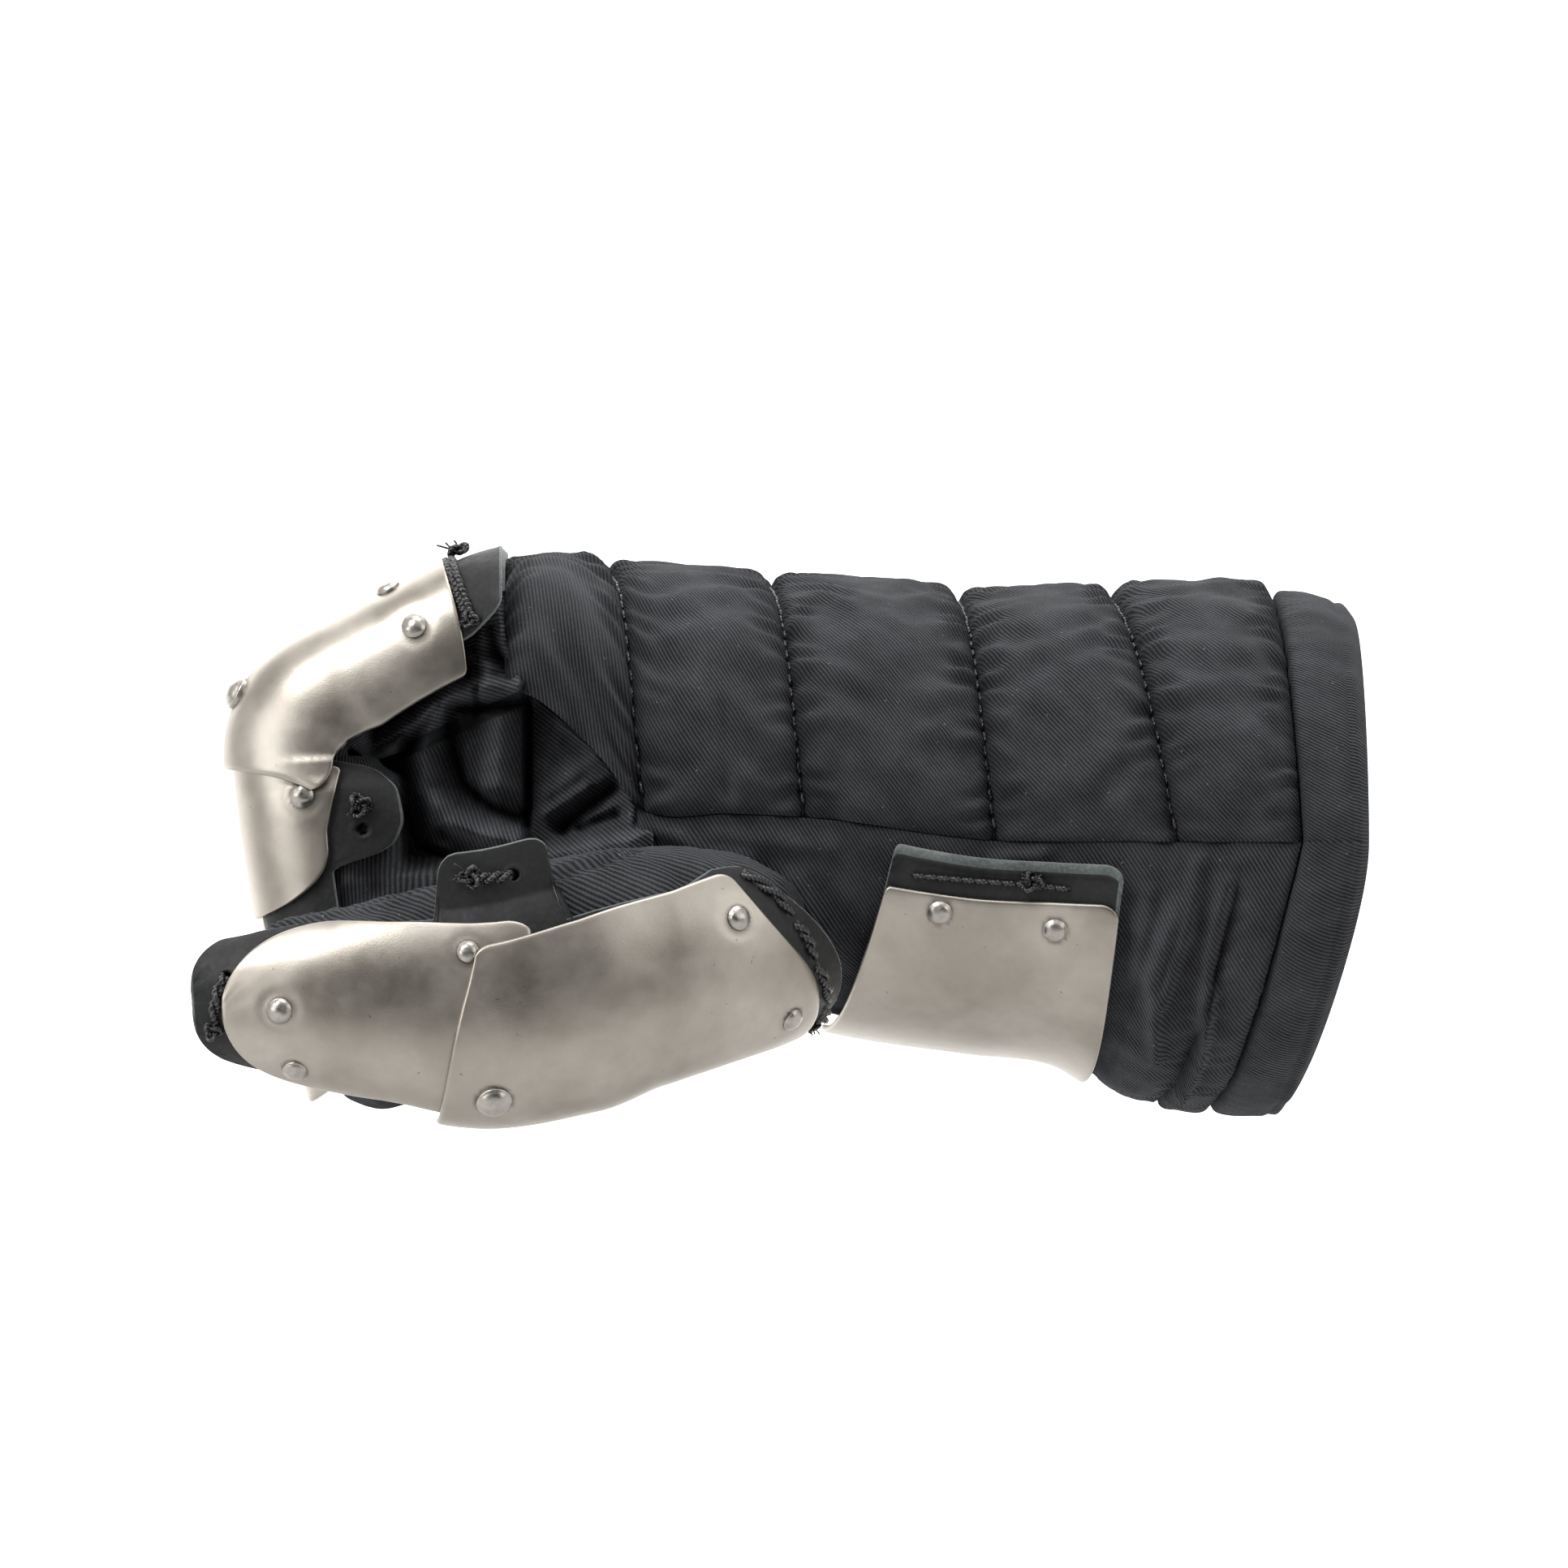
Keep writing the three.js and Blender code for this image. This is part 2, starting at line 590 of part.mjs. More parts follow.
// Plates with their rivets, and the leather that the rivets pass through, on one form. A rivet at a lap goes
// through the plate below too.
function addArmour(name, form, leather, plates, clearOf = []) {
  const trimmed = (solid) => largestOf(clearOf.reduce((rest, other) => rest.subtract(other), solid));
  const liftAt = (plate, s) => (plate.lift ? plate.lift(s) : 0);
  const rivets = plates.flatMap((plate) =>
    plate.rivets.map(({ s, angle, size }) => {
      const base = PLATE_IN + STEEL + liftAt(plate, s);
      const place = form.place(s, radians(angle), base);
      return { plate, parts: rivetSolid(size, base - LEATHER_IN, place), hole: holeSolid(size, base, place) };
    }),
  );
  for (const plate of plates) {
    const [under, over] = [PLATE_IN, PLATE_IN + STEEL].map((height) => (s) => height + liftAt(plate, s));
    let solid = trimmed(form.layer(under, over).intersect(form.cutter(plate.patch)));
    for (const rivet of rivets) {
      solid = rivet.plate === plate ? solid.add(rivet.parts[0]).add(rivet.parts[1]) : solid.subtract(rivet.hole);
    }
    addPiece(name + "_" + plate.name, "steel", solid);
  }
  let strip = form.layer(LEATHER_IN, LEATHER_IN + LEATHER).intersect(form.cutter(leather));
  for (const rivet of rivets) strip = strip.subtract(rivet.hole);
  addPiece(name + "_leather", "leather", trimmed(strip));
}

const fingers = FINGERS.map(fingerOf);
const thumb = thumbOf();

// Cloth.
const handOutside = handVolume(GAP);
const thumbHollow = digitHollow(thumb);
let palm = palmSheet(0, -PALM_CLOTH).subtract(thumbHollow).subtract(digitVolume(thumb, 20, GAP));
for (const finger of fingers) {
  palm = palm.subtract(digitVolume(finger, -GAP, GAP));
  addPiece(finger.name + "_stall", "cloth", largestOf(digitVolume(finger, 0, 0).subtract(digitHollow(finger))));
}
addPiece("palm_panel", "cloth", largestOf(palm));
const thumbStall = digitVolume(thumb, 0, 0).subtract(thumbHollow).subtract(handOutside);
addPiece("thumb_stall", "cloth", largestOf(thumbStall));
addPiece("quilted_back", "cloth", quiltedBack());
addPiece("cuff_binding", "cloth", cuffBinding());

// Each finger: a plate from the knuckle over the middle joint, which laps over an oval plate towards the fingertip.
const SQUARE_END = { over: 0.06, depth: 0.08 };
for (const finger of fingers) {
  const [, knuckle, jointIn, jointOut] = finger.marks;
  const tip = jointOut + finger.plate;
  const end = finger.length - 5;
  const leather = {
    cells: [4, 5],
    start: [1, 0.4, 1],
    end: [end, end, end],
    rows: [
      { u: 0, from: -74, to: 74 },
      { u: 0.3, from: -70, to: 70 },
      { u: (jointOut + 1) / end, from: -80, to: 84 },
      { u: (jointOut + 3) / end, from: -120, to: 126 },
      { u: (jointOut + 11) / end, from: -128, to: 138 },
      { u: (jointOut + 17) / end, from: -116, to: 122 },
      { u: (jointOut + 19) / end, from: -78, to: 78 },
      { u: 1, from: -78, to: 78 },
    ],
    round: [SQUARE_END, { over: 0.1, depth: 0.6 }],
  };
  const near = {
    cells: [5, 6],
    start: [knuckle + 3.5, knuckle, knuckle + 3.5],
    end: [jointIn + 7.5, jointIn + 3.3, jointIn + 7.5],
    rows: [
      { u: 0, from: -98, to: 101 },
      { u: 0.7, from: -97, to: 98 },
      { u: 1, from: -98, to: 98 },
    ],
    round: [SQUARE_END, { over: 0.2, depth: 0.34 }],
  };
  const far = {
    cells: [7, 5],
    start: [jointOut + 1.4, jointOut - 1.8, jointOut + 1.4],
    end: [tip, tip, tip],
    rows: [
      { u: 0, from: -98, to: 98 },
      { u: 0.5, from: -80, to: 80 },
      { u: 1, from: -77, to: 77 },
    ],
    round: [SQUARE_END, { over: 10 / finger.plate, depth: 1 }],
  };
  addArmour(finger.name, digitForm(finger), leather, [
    {
      name: "near_plate",
      patch: near,
      lift: (s) => (LAP + 0.3) * THREE.MathUtils.smoothstep(s, jointIn - 9, jointIn + 0.5),
      rivets: [
        { s: knuckle + 9.5, angle: 12, size: RIVET },
        { s: knuckle + 8.5, angle: 50, size: RIVET },
        { s: jointIn + 2, angle: 4, size: JOINT_RIVET },
      ],
    },
    {
      name: "far_plate",
      patch: far,
      rivets: [
        { s: jointOut + 6, angle: 63, size: RIVET },
        { s: jointOut + 6, angle: -42, size: RIVET },
      ],
    },
  ]);
}

// The thumb: a plate over its knuckle laps over an oval plate towards its tip.
const thumbLeather = {
  cells: [6, 6],
  start: [34, 22, 12],
  end: [125, 125, 125],
  rows: [
    { u: 0, from: -53, to: 62 },
    { u: 0.1, from: -50, to: 70 },
    { u: 0.38, from: -42, to: 80 },
    { u: 0.395, from: -98, to: 80 },
    { u: 0.59, from: -104, to: 78 },
    { u: 0.605, from: -50, to: 78 },
    { u: 0.76, from: -50, to: 70 },
    { u: 0.775, from: -62, to: 70 },
    { u: 1, from: -66, to: 66 },
  ],
  round: [SQUARE_END, { over: 0.12, depth: 0.8 }],
};
addArmour(
  "thumb",
  digitForm(thumb),
  thumbLeather,
  [
    {
      name: "tip_plate",
      patch: {
        cells: [9, 5],
        start: [70, 72, 74],
        end: [119.5, 119.5, 119.5],
        rows: [
          { u: 0, from: -43, to: 82 },
          { u: 0.45, from: -48, to: 72 },
          { u: 1, from: -58, to: 76 },
        ],
        round: [SQUARE_END, { over: 0.42, depth: 1 }],
      },
      rivets: [
        { s: 109.5, angle: 9, size: RIVET },
        { s: 108, angle: 50, size: RIVET },
      ],
    },
    {
      name: "knuckle_plate",
      patch: {
        cells: [6, 7],
        start: [39.5, 30, 23],
        end: [79, 82, 83],
        rows: [
          { u: 0, from: -47, to: 66 },
          { u: 0.3, from: -41, to: 82 },
          { u: 0.6, from: -35, to: 84 },
          { u: 1, from: -31, to: 90 },
        ],
        round: [{ over: 0.06, depth: 0.05 }, SQUARE_END],
      },
      lift: (s) => (LAP + 0.1) * THREE.MathUtils.smoothstep(s, 48, 61),
      rivets: [
        { s: 38, angle: -21, size: RIVET },
        { s: 30, angle: 45, size: RIVET },
        { s: 77.5, angle: 60, size: JOINT_RIVET },
      ],
    },
  ],
  [handOutside],
);

// The base of the thumb: one plate on the palm's side, on its own square of leather.
addArmour(
  "thumb_base",
  palmForm,
  {
    cells: [4, 6],
    start: [-86, -84.5, -78.5],
    end: [-46, -42, -38],
    rows: [
      { u: 0, from: -88, to: -3 },
      { u: 1, from: -88, to: -5 },
    ],
    round: [SQUARE_END, SQUARE_END],
  },
  [
    {
      name: "plate",
      patch: {
        cells: [4, 6],
        start: [-90.5, -86.5, -80],
        end: [-46, -42.5, -38.8],
        rows: [
          { u: 0, from: -97, to: -12 },
          { u: 1, from: -97, to: -13 },
        ],
        round: [SQUARE_END, SQUARE_END],
      },
      rivets: [
        { s: -70.3, angle: -16, size: RIVET },
        { s: -50, angle: -18.5, size: RIVET },
      ],
    },
  ],
);

export default gauntlet;
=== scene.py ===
"""Looks of an armoured gauntlet: quilted cotton, leather strips, riveted steel plates, waxed thread.

All shapes are worked out in millimetres in the part's own frame and put into the meshes in metres.
"""
from __future__ import annotations

import logging
from dataclasses import dataclass, field
from enum import Enum

import bmesh
import bpy
import numpy as np
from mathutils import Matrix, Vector


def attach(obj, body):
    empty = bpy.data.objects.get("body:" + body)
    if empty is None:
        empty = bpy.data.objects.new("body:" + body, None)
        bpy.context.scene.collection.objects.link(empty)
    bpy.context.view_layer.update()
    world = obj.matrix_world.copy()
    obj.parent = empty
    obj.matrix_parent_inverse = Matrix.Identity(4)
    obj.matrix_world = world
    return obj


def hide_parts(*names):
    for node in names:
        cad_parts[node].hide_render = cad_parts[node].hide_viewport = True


log = logging.getLogger("gauntlet")
Array = np.ndarray
Socket = bpy.types.NodeSocket

MM = 0.001  # metres in a millimetre
TURN = 6.283  # a full turn in radians, for patterns
CLOTH = 1.6  # wall of the sheaths
LEATHER = 2.2  # thickness of the leather
STEEL = 1.1  # thickness of the plates
LEATHER_IN = 0.3  # gap from the cloth to the leather
PLATE_IN = 2.86  # height of a plate's inner face above the cloth
LAP = 1.4  # how far a plate rises over the next one
PALM_FRONT = -150.5  # X of the palm's front edge
HAND_ARC = 60  # millimetres to the radian round the back and the cuff
PALM_ARC = 55  # the same round the palm
DIGIT_ARC = 11  # the same round a finger or the thumb
TUBE_STEP = 33.0  # how far the cloth's pattern moves on from one tube to the next
PLATE_EDGE = 0.55  # rounding of a plate's edges
HIDE_EDGE = 0.5  # rounding of the leather's edges
CUT_BAND = 0.4  # width of the rough band at the leather's edges
WEB_WALL = 1.3  # wall of the gathered cloth


# ---------------------------------------------------------------- numbers


@dataclass(frozen=True)
class Table:
    """Rows of a size table with named columns, read on a smooth curve along the first one."""

    names: tuple[str, ...]
    rows: tuple[tuple[float, ...], ...]

    def at(self, name: str, x: Array) -> Array:
        """Read a column on cubic pieces whose slopes come from the neighbouring rows.

        Args:
            name: the column.
            x: places along the first column.

        Returns:
            The column's values there.
        """
        table = np.array(self.rows)
        by, column = table[:, 0], table[:, self.names.index(name)]
        last = len(by) - 1
        x = np.asarray(x, float)
        low, high = np.maximum(np.arange(last + 1) - 1, 0), np.minimum(np.arange(last + 1) + 1, last)
        slope = (column[high] - column[low]) / (by[high] - by[low])
        i = np.clip(np.searchsorted(by, x, side="left") - 1, 0, last - 1)
        span = by[i + 1] - by[i]
        t = np.clip((x - by[i]) / span, 0, 1)
        return (
            column[i] * (2 * t**3 - 3 * t**2 + 1)
            + column[i + 1] * (3 * t**2 - 2 * t**3)
            + slope[i] * span * (t**3 - 2 * t**2 + t)
            + slope[i + 1] * span * (t**3 - t**2)
        )


def smoothstep(x: Array, low: float, high: float) -> Array:
    """Rise smoothly from 0 at low to 1 at high."""
    t = np.clip((np.asarray(x, float) - low) / (high - low), 0, 1)
    return t * t * (3 - 2 * t)


def bell(x: Array, width: float) -> Array:
    """Fall from 1 at 0 as a bell curve, e to the power of minus (x / width) squared."""
    return np.exp(-((x / width) ** 2))


def turned(a: Array, b: Array, turn: Array | float) -> Array:
    """Turn pattern coordinates a and b by an angle, so that the cloth's ribs lie at a slant."""
    return np.stack([a * np.cos(turn) - b * np.sin(turn), a * np.sin(turn) + b * np.cos(turn)], axis=-1)


def unit(v: Array) -> Array:
    """Scale vectors to length 1."""
    return v / np.maximum(np.linalg.norm(v, axis=-1, keepdims=True), 1e-9)


def ripple(u: Array, v: Array, size: float, seed: int, waves: int = 9) -> Array:
    """Add up sine waves of random directions and lengths near one size.

    Args:
        u: first coordinate.
        v: second coordinate.
        size: length of the waves, in the coordinates' units.
        seed: fixes the random choice.
        waves: how many are added.

    Returns:
        An uneven field of about -1 to 1.
    """
    rng = np.random.default_rng(seed)
    total = np.zeros(np.broadcast(u, v).shape)
    for turn, stretch, phase in rng.uniform((0, 0.6, 0), (TURN, 1.7, TURN), (waves, 3)):
        f = TURN / size * stretch
        total += np.sin(f * (u * np.cos(turn) + v * np.sin(turn)) + phase)
    return total / np.sqrt(waves) / 1.3


@dataclass(frozen=True)
class Fold:
    """A ridge, or with a negative height a valley, along a path over a surface."""

    path: tuple[tuple[float, float], ...]
    width: float
    height: float


def relief(a: Array, b: Array, folds: tuple[Fold, ...]) -> Array:
    """Add up folds: each is a bell curve of the distance to its path.

    Args:
        a: first coordinate of the surface's points.
        b: second coordinate.
        folds: the ridges and valleys.

    Returns:
        The height at each point.
    """
    total = np.zeros(np.broadcast(a, b).shape)
    for fold in folds:
        near = np.full(total.shape, 1e9)
        for (a0, b0), (a1, b1) in zip(fold.path[:-1], fold.path[1:]):
            da, db = a1 - a0, b1 - b0
            t = np.clip(((a - a0) * da + (b - b0) * db) / (da * da + db * db + 1e-9), 0, 1)
            near = np.minimum(near, np.hypot(a - a0 - t * da, b - b0 - t * db))
        total += fold.height * bell(near, fold.width)
    return total


def edge_lines(length: float, cells: int, radius: float) -> Array:
    """Space grid lines evenly over a length, with extra ones where its two ends round off.

    Args:
        length: the length across, in millimetres.
        cells: number of even cells.
        radius: radius of the rounded ends.

    Returns:
        Shares of the length from 0 to 1.
    """
    near = radius * np.array([0, 0.06, 0.25, 0.55, 1.0]) / length
    middle = np.linspace(near[-1], 1 - near[-1], cells + 1)
    return np.unique(np.concatenate([near, middle, 1 - near]))


# ---------------------------------------------------------------- meshes


def grid_faces(rows: int, columns: int) -> Array:
    """Number the corners of every cell of a grid of points."""
    a = (np.arange(rows - 1)[:, None] * columns + np.arange(columns - 1)[None, :]).ravel()
    return np.stack([a, a + 1, a + columns + 1, a + columns], axis=1)


@dataclass
class Shape:
    """Points in millimetres, quads, and what the finish needs at each point."""

    points: Array
    quads: Array
    uv: Array
    shade: Array
    slots: Array

    def plus(self, other: "Shape", slot: int | None = None) -> "Shape":
        """Join another shape to this one.

        Args:
            other: the shape to add.
            slot: the finish of its faces, if it is to change.

        Returns:
            Both shapes in one.
        """
        slots = other.slots if slot is None else np.full(len(other.quads), slot)
        return Shape(
            np.concatenate([self.points, other.points]),
            np.concatenate([self.quads, other.quads + len(self.points)]),
            np.concatenate([self.uv, other.uv]),
            np.concatenate([self.shade, other.shade]),
            np.concatenate([self.slots, slots]),
        )


def surface(points: Array, uv: Array | None = None, shade: Array | None = None,
        outward: Array | None = None) -> Shape:
    """Make one layer from a grid of points.

    Args:
        points: grid of points, rows by columns by 3.
        uv: grid of pattern coordinates in millimetres.
        shade: grid of the colour multiplier, painted shade where below 1, and 1 where the surface is plain.
        outward: a direction at each point that faces should point along.

    Returns:
        The layer, with its faces turned outwards.
    """
    rows, columns = points.shape[:2]
    quads = grid_faces(rows, columns)
    flat = points.reshape(-1, 3)
    if outward is not None:
        normal = np.cross(flat[quads[:, 2]] - flat[quads[:, 0]], flat[quads[:, 3]] - flat[quads[:, 1]])
        if (normal * outward.reshape(-1, 3)[quads[:, 0]]).sum() < 0:
            quads = quads[:, ::-1]
    uv = np.zeros((rows * columns, 2)) if uv is None else uv.reshape(-1, 2)
    shade = np.ones(rows * columns) if shade is None else np.broadcast_to(shade, (rows, columns)).reshape(-1)
    return Shape(flat, quads, uv, shade.astype(float), np.zeros(len(quads), int))


class Side(Enum):
    """The four sides of a grid."""

    START = 0
    END = 1
    LEFT = 2
    RIGHT = 3


ALL_SIDES = tuple(Side)


def sheet(outer: Array, inner: Array, uv: Array, shade: Array | None = None,
        rims: tuple[Side, ...] = ALL_SIDES,
          rim_slot: int = 0) -> Shape:
    """Make a wall from its outside and inside, with a rim along the sides that are open.

    Args:
        outer: grid of points of the outside.
        inner: the same grid on the inside.
        uv: pattern coordinates, shared by both.
        shade: colour multiplier of the outside, painted shade where below 1.
        rims: the sides that get a rim.
        rim_slot: the finish of the rims.

    Returns:
        The wall as one shape.
    """
    rows, columns = outer.shape[:2]
    away = outer - inner
    out, back = surface(outer, uv, shade, away), surface(inner, uv, None, -away)
    made = out.plus(back)
    n = rows * columns
    index = np.arange(n).reshape(rows, columns)
    lines = {Side.START: index[0], Side.END: index[-1], Side.LEFT: index[:, 0], Side.RIGHT: index[:, -1]}
    for side in rims:
        a = lines[side]
        quads = np.stack([a[:-1], a[1:], a[1:] + n, a[:-1] + n], axis=1)
        inward = {Side.START: index[1], Side.END: index[-2], Side.LEFT: index[:, 1],
                Side.RIGHT: index[:, -2]}[side]
        corner = made.points
        normal = np.cross(corner[quads[:, 1]] - corner[quads[:, 0]],
                corner[quads[:, 3]] - corner[quads[:, 0]])
        if (normal * (corner[a[:-1]] - corner[inward[:-1]])).sum() < 0:
            quads = quads[:, ::-1]
        made.quads = np.concatenate([made.quads, quads])
        made.slots = np.concatenate([made.slots, np.full(len(quads), rim_slot)])
    return made


def build(name: str, shape: Shape, finishes: tuple["bpy.types.Material", ...],
          replaces: tuple[str, ...] = (), weld: float = 0.002) -> bpy.types.Object:
    """Put a shape into the scene as one piece that rides on the part's body.

    Args:
        name: the piece's name.
        shape: its points and faces.
        finishes: its materials, in the order of the shape's slots.
        replaces: the solids that it stands for.
        weld: points closer than this many millimetres become one.

    Returns:
        The piece.
    """
    mesh = bpy.data.meshes.new(name)
    mesh.from_pydata((shape.points * MM).tolist(), [], shape.quads.tolist())
    layer = mesh.uv_layers.new(name="cut")
    layer.data.foreach_set("uv", shape.uv[shape.quads.ravel()].ravel())
    shade = mesh.attributes.new("shade", "FLOAT", "POINT")
    shade.data.foreach_set("value", shape.shade)
    mesh.polygons.foreach_set("material_index", shape.slots)
    mesh.polygons.foreach_set("use_smooth", np.ones(len(shape.quads), bool))
    for material in finishes:
        mesh.materials.append(material)
    work = bmesh.new()
    work.from_mesh(mesh)
    bmesh.ops.remove_doubles(work, verts=work.verts, dist=weld * MM)
    work.to_mesh(mesh)
    work.free()
    mesh.validate()
    mesh.update()
    piece = bpy.data.objects.new(name, mesh)
    bpy.context.collection.objects.link(piece)
    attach(piece, "root")
    if replaces:
        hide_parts(*replaces)
    log.info("%s: %d points, %d faces", name, len(mesh.vertices), len(mesh.polygons))
    return piece


def tube(path: Array, radius: Array | float, sides: int = 8, twist: float = 0.0) -> Shape:
    """Carry a circle along a path and close its two ends.

    Args:
        path: points along the middle.
        radius: radius at each point, or one for all.
        sides: sides of the circle.
        twist: turns per point, for laid cord.

    Returns:
        The tube.
    """
    path = np.asarray(path, float)
    n = len(path)
    along = unit(np.gradient(path, axis=0))
    ref = np.where(np.abs(along[:, 2:3]) < 0.9, [[0.0, 0, 1]], [[1.0, 0, 0]])
    ref = np.broadcast_to(ref[0], along.shape)
    a = unit(np.cross(along, ref + 1e-4))
    b = np.cross(along, a)
    r = np.broadcast_to(radius, (n,)).copy()
    turn = np.linspace(0, 2 * np.pi, sides + 1)[None, :, None] + twist * np.arange(n)[:, None, None]
    ring = path[:, None] + r[:, None, None] * (np.cos(turn) * a[:, None] + np.sin(turn) * b[:, None])
    cap0 = np.broadcast_to(path[0] - along[0] * r[0] * 0.4, (1, sides + 1, 3))
    cap1 = np.broadcast_to(path[-1] + along[-1] * r[-1] * 0.4, (1, sides + 1, 3))
    grid = np.concatenate([cap0, ring, cap1])
    middle = np.concatenate([path[:1], path, path[-1:]])[:, None]
    length = np.concatenate([[0], np.cumsum(np.linalg.norm(np.diff(middle[:, 0], axis=0), axis=1))])
    uv = np.stack(np.broadcast_arrays(length[:, None], np.linspace(0, 6.28, sides + 1)[None]), axis=-1)
    return surface(grid, uv, None, grid - middle)


def spline(points: Array, samples: int) -> Array:
    """Draw a smooth curve through points by cubic pieces.

    Args:
        points: the points it passes.
        samples: how many points come back.

    Returns:
        The curve.
    """
    points = np.asarray(points, float)
    at = np.linspace(0, len(points) - 1, samples)
    i = np.clip(at.astype(int), 0, len(points) - 2)
    t = (at - i)[:, None]
    slope = np.gradient(points, axis=0)
    return (
        points[i] * (2 * t**3 - 3 * t**2 + 1)
        + points[i + 1] * (3 * t**2 - 2 * t**3)
        + slope[i] * (t**3 - 2 * t**2 + t)
        + slope[i + 1] * (t**3 - t**2)
    )


def joined(shapes: list[Shape]) -> Shape:
    """Join a list of shapes."""
    made = shapes[0]
    for shape in shapes[1:]:
        made = made.plus(shape)
    return made


# ---------------------------------------------------------------- the hand's surface

HAND = Table(
    ("x", "top", "seam", "bottom", "half", "square"),
    (
        (-152, 49.2, 31, 10, 55, 4.0),
        (-146, 49.4, 30, 4, 57, 4.0),
        (-140, 49.6, 27.5, -6, 56.5, 4.0),
        (-130, 49.3, 18, -11, 54.5, 3.5),
        (-122, 48.6, 8.5, -15, 52.5, 3.1),
        (-107, 47.3, 8, -22, 49.5, 2.8),
        (-90, 46.4, 7, -28, 47, 2.6),
        (-65, 44.4, 3.5, -32, 45, 2.5),
        (-50, 44.4, 3, -34, 45, 2.4),
        (-38, 44.9, 3, -41.5, 46.5, 2.3),
        (-24, 45.4, 3, -44, 48, 2.2),
        (-10, 45.2, 3, -45.5, 48.5, 2.1),
        (6, 42.5, 3, -43.5, 47, 2.1),
    ),
)


@dataclass(frozen=True)
class Line:
    """A line across the hand: X over the top, at the side seams and underneath."""

    top: float
    side: float
    under: float
    ease: float = 0.0

    def at(self, around: Array) -> Array:
        """Give X at each place around the hand; ease rounds its bend at the side seams."""
        s = np.sin(around)
        to = np.where(s >= 0, self.top, self.under)
        away = (np.hypot(s, self.ease) - self.ease) / (np.hypot(1, self.ease) - self.ease)
        return to + (self.side - to) * np.clip(1 - away, 0, 1) ** 0.75


CHANNELS = (
    Line(-149.6, -146.6, -146.6),
    Line(-129.7, -122.5, -122.5),
    Line(-100.3, -94.3, -94.3),
    Line(-66.7, -60.6, -60.6),
    Line(-39.7, -28.6, -28.6),
    Line(-10.7, -6.5, -22),
)
RIM = Line(4.2, 5.3, -8.5, 0.22)


def section_point(half: Array, back: Array, front: Array, square: Array, angle: Array,
        out: Array) -> tuple[Array, Array]:
    """Give a point of a rounded section, |side / half|^q + |up / depth|^q = 1, moved out along its normal.

    Args:
        half: half its width.
        back: its depth at angle 0.
        front: its depth at 180 degrees.
        square: q, 2 for an ellipse and more for a squarer one.
        angle: where, from the back.
        out: how far out.

    Returns:
        How far to the side and how far up the point is.
    """
    s, c = np.sin(angle), np.cos(angle)
    depth = np.where(c > 0, back, front)
    r = (np.abs(s / half) ** square + np.abs(c / depth) ** square) ** (-1 / square)
    side = np.sign(s) * np.abs(s * r) ** (square - 1) / half**square
    up = np.sign(c) * np.abs(c * r) ** (square - 1) / depth**square
    length = np.hypot(side, up)
    return r * s + out * side / length, r * c + out * up / length


def hand_point(x: Array, around: Array, out: Array) -> Array:
    """Give a point of the hand's tube.

    Args:
        x: how far along.
        around: 0 at the thumb-side seam, 90 degrees on top, -90 degrees underneath, in radians.
        out: height above the surface.

    Returns:
        Points in millimetres.
    """
    x, around, out = np.broadcast_arrays(np.asarray(x, float), around, out)
    seam = HAND.at("seam", x)
    side, up = section_point(
        HAND.at("half", x), HAND.at("top", x) - seam, seam - HAND.at("bottom", x), HAND.at("square", x),
        np.pi / 2 - around, out,
    )
    return np.stack([x, -side, seam + up], axis=-1)


# ---------------------------------------------------------------- fingers and thumb

STALL_SQUARE = 2.4
TIP_ROUND = 11.0

FINGER_SECTION = (
    (0, 13.4, 14.6, 28.5),
    (1, 10.8, 14.2, 28),
    (1.25, 10.8, 14, 24),
    (1.5, 10.6, 14, 19.5),
    (1.74, 10, 14, 12.5),
    (1.9, 9, 14, 7.2),
    (2.15, 8.8, 14, 3.9),
    (2.9, 8.8, 14, 3.9),
    (3.04, 9.6, 14, 9),
    (3.1, 10.6, 13.9, 15),
    (3.2, 10.8, 13.8, 21),
    (3.4, 10.8, 13.4, 22),
    (3.7, 10.6, 12.6, 18),
    (4, 9.4, 11.6, 13),
)


@dataclass
class Digit:
    """A finger or the thumb: a centre line, its section along it and its whole length."""

    name: str
    length: float
    side: tuple[float, float, float]

    def centre(self, s: Array) -> Array:
        """Give the centre line at s."""
        raise NotImplementedError

    def section(self, name: str, s: Array) -> Array:
        """Give half, back or front at s."""
        raise NotImplementedError

    def axes(self, s: Array) -> tuple[Array, Array, Array]:
        """Give the directions along, to the side and out of the back at s."""
        along = unit(self.centre(s + 0.05) - self.centre(s - 0.05))
        back = unit(np.cross(along, np.array(self.side)))
        return along, np.cross(back, along), back

    def point(self, s: Array, angle: Array, out: Array, shrink: Array = 1.0) -> Array:
        """Give a point of the digit.

        Args:
            s: length along it.
            angle: 0 on its back, positive towards its side direction, in radians.
            out: height above its cloth.
            shrink: scale of the section.

        Returns:
            Points in millimetres.
        """
        s, angle, out, shrink = np.broadcast_arrays(np.asarray(s, float), angle, out, shrink)
        _, side, back = self.axes(s)
        half, up, down = (self.section(name, s) * shrink for name in ("half", "back", "front"))
        a, b = section_point(half, up, down, STALL_SQUARE, angle, out)
        return self.centre(s) + side * a[..., None] + back * b[..., None]

    def place(self, s: float, angle: float, out: float) -> tuple[Array, Array]:
        """Give a point and its normal."""
        point = self.point(s, angle, out)
        return point, unit(self.point(s, angle, out + 1) - point)


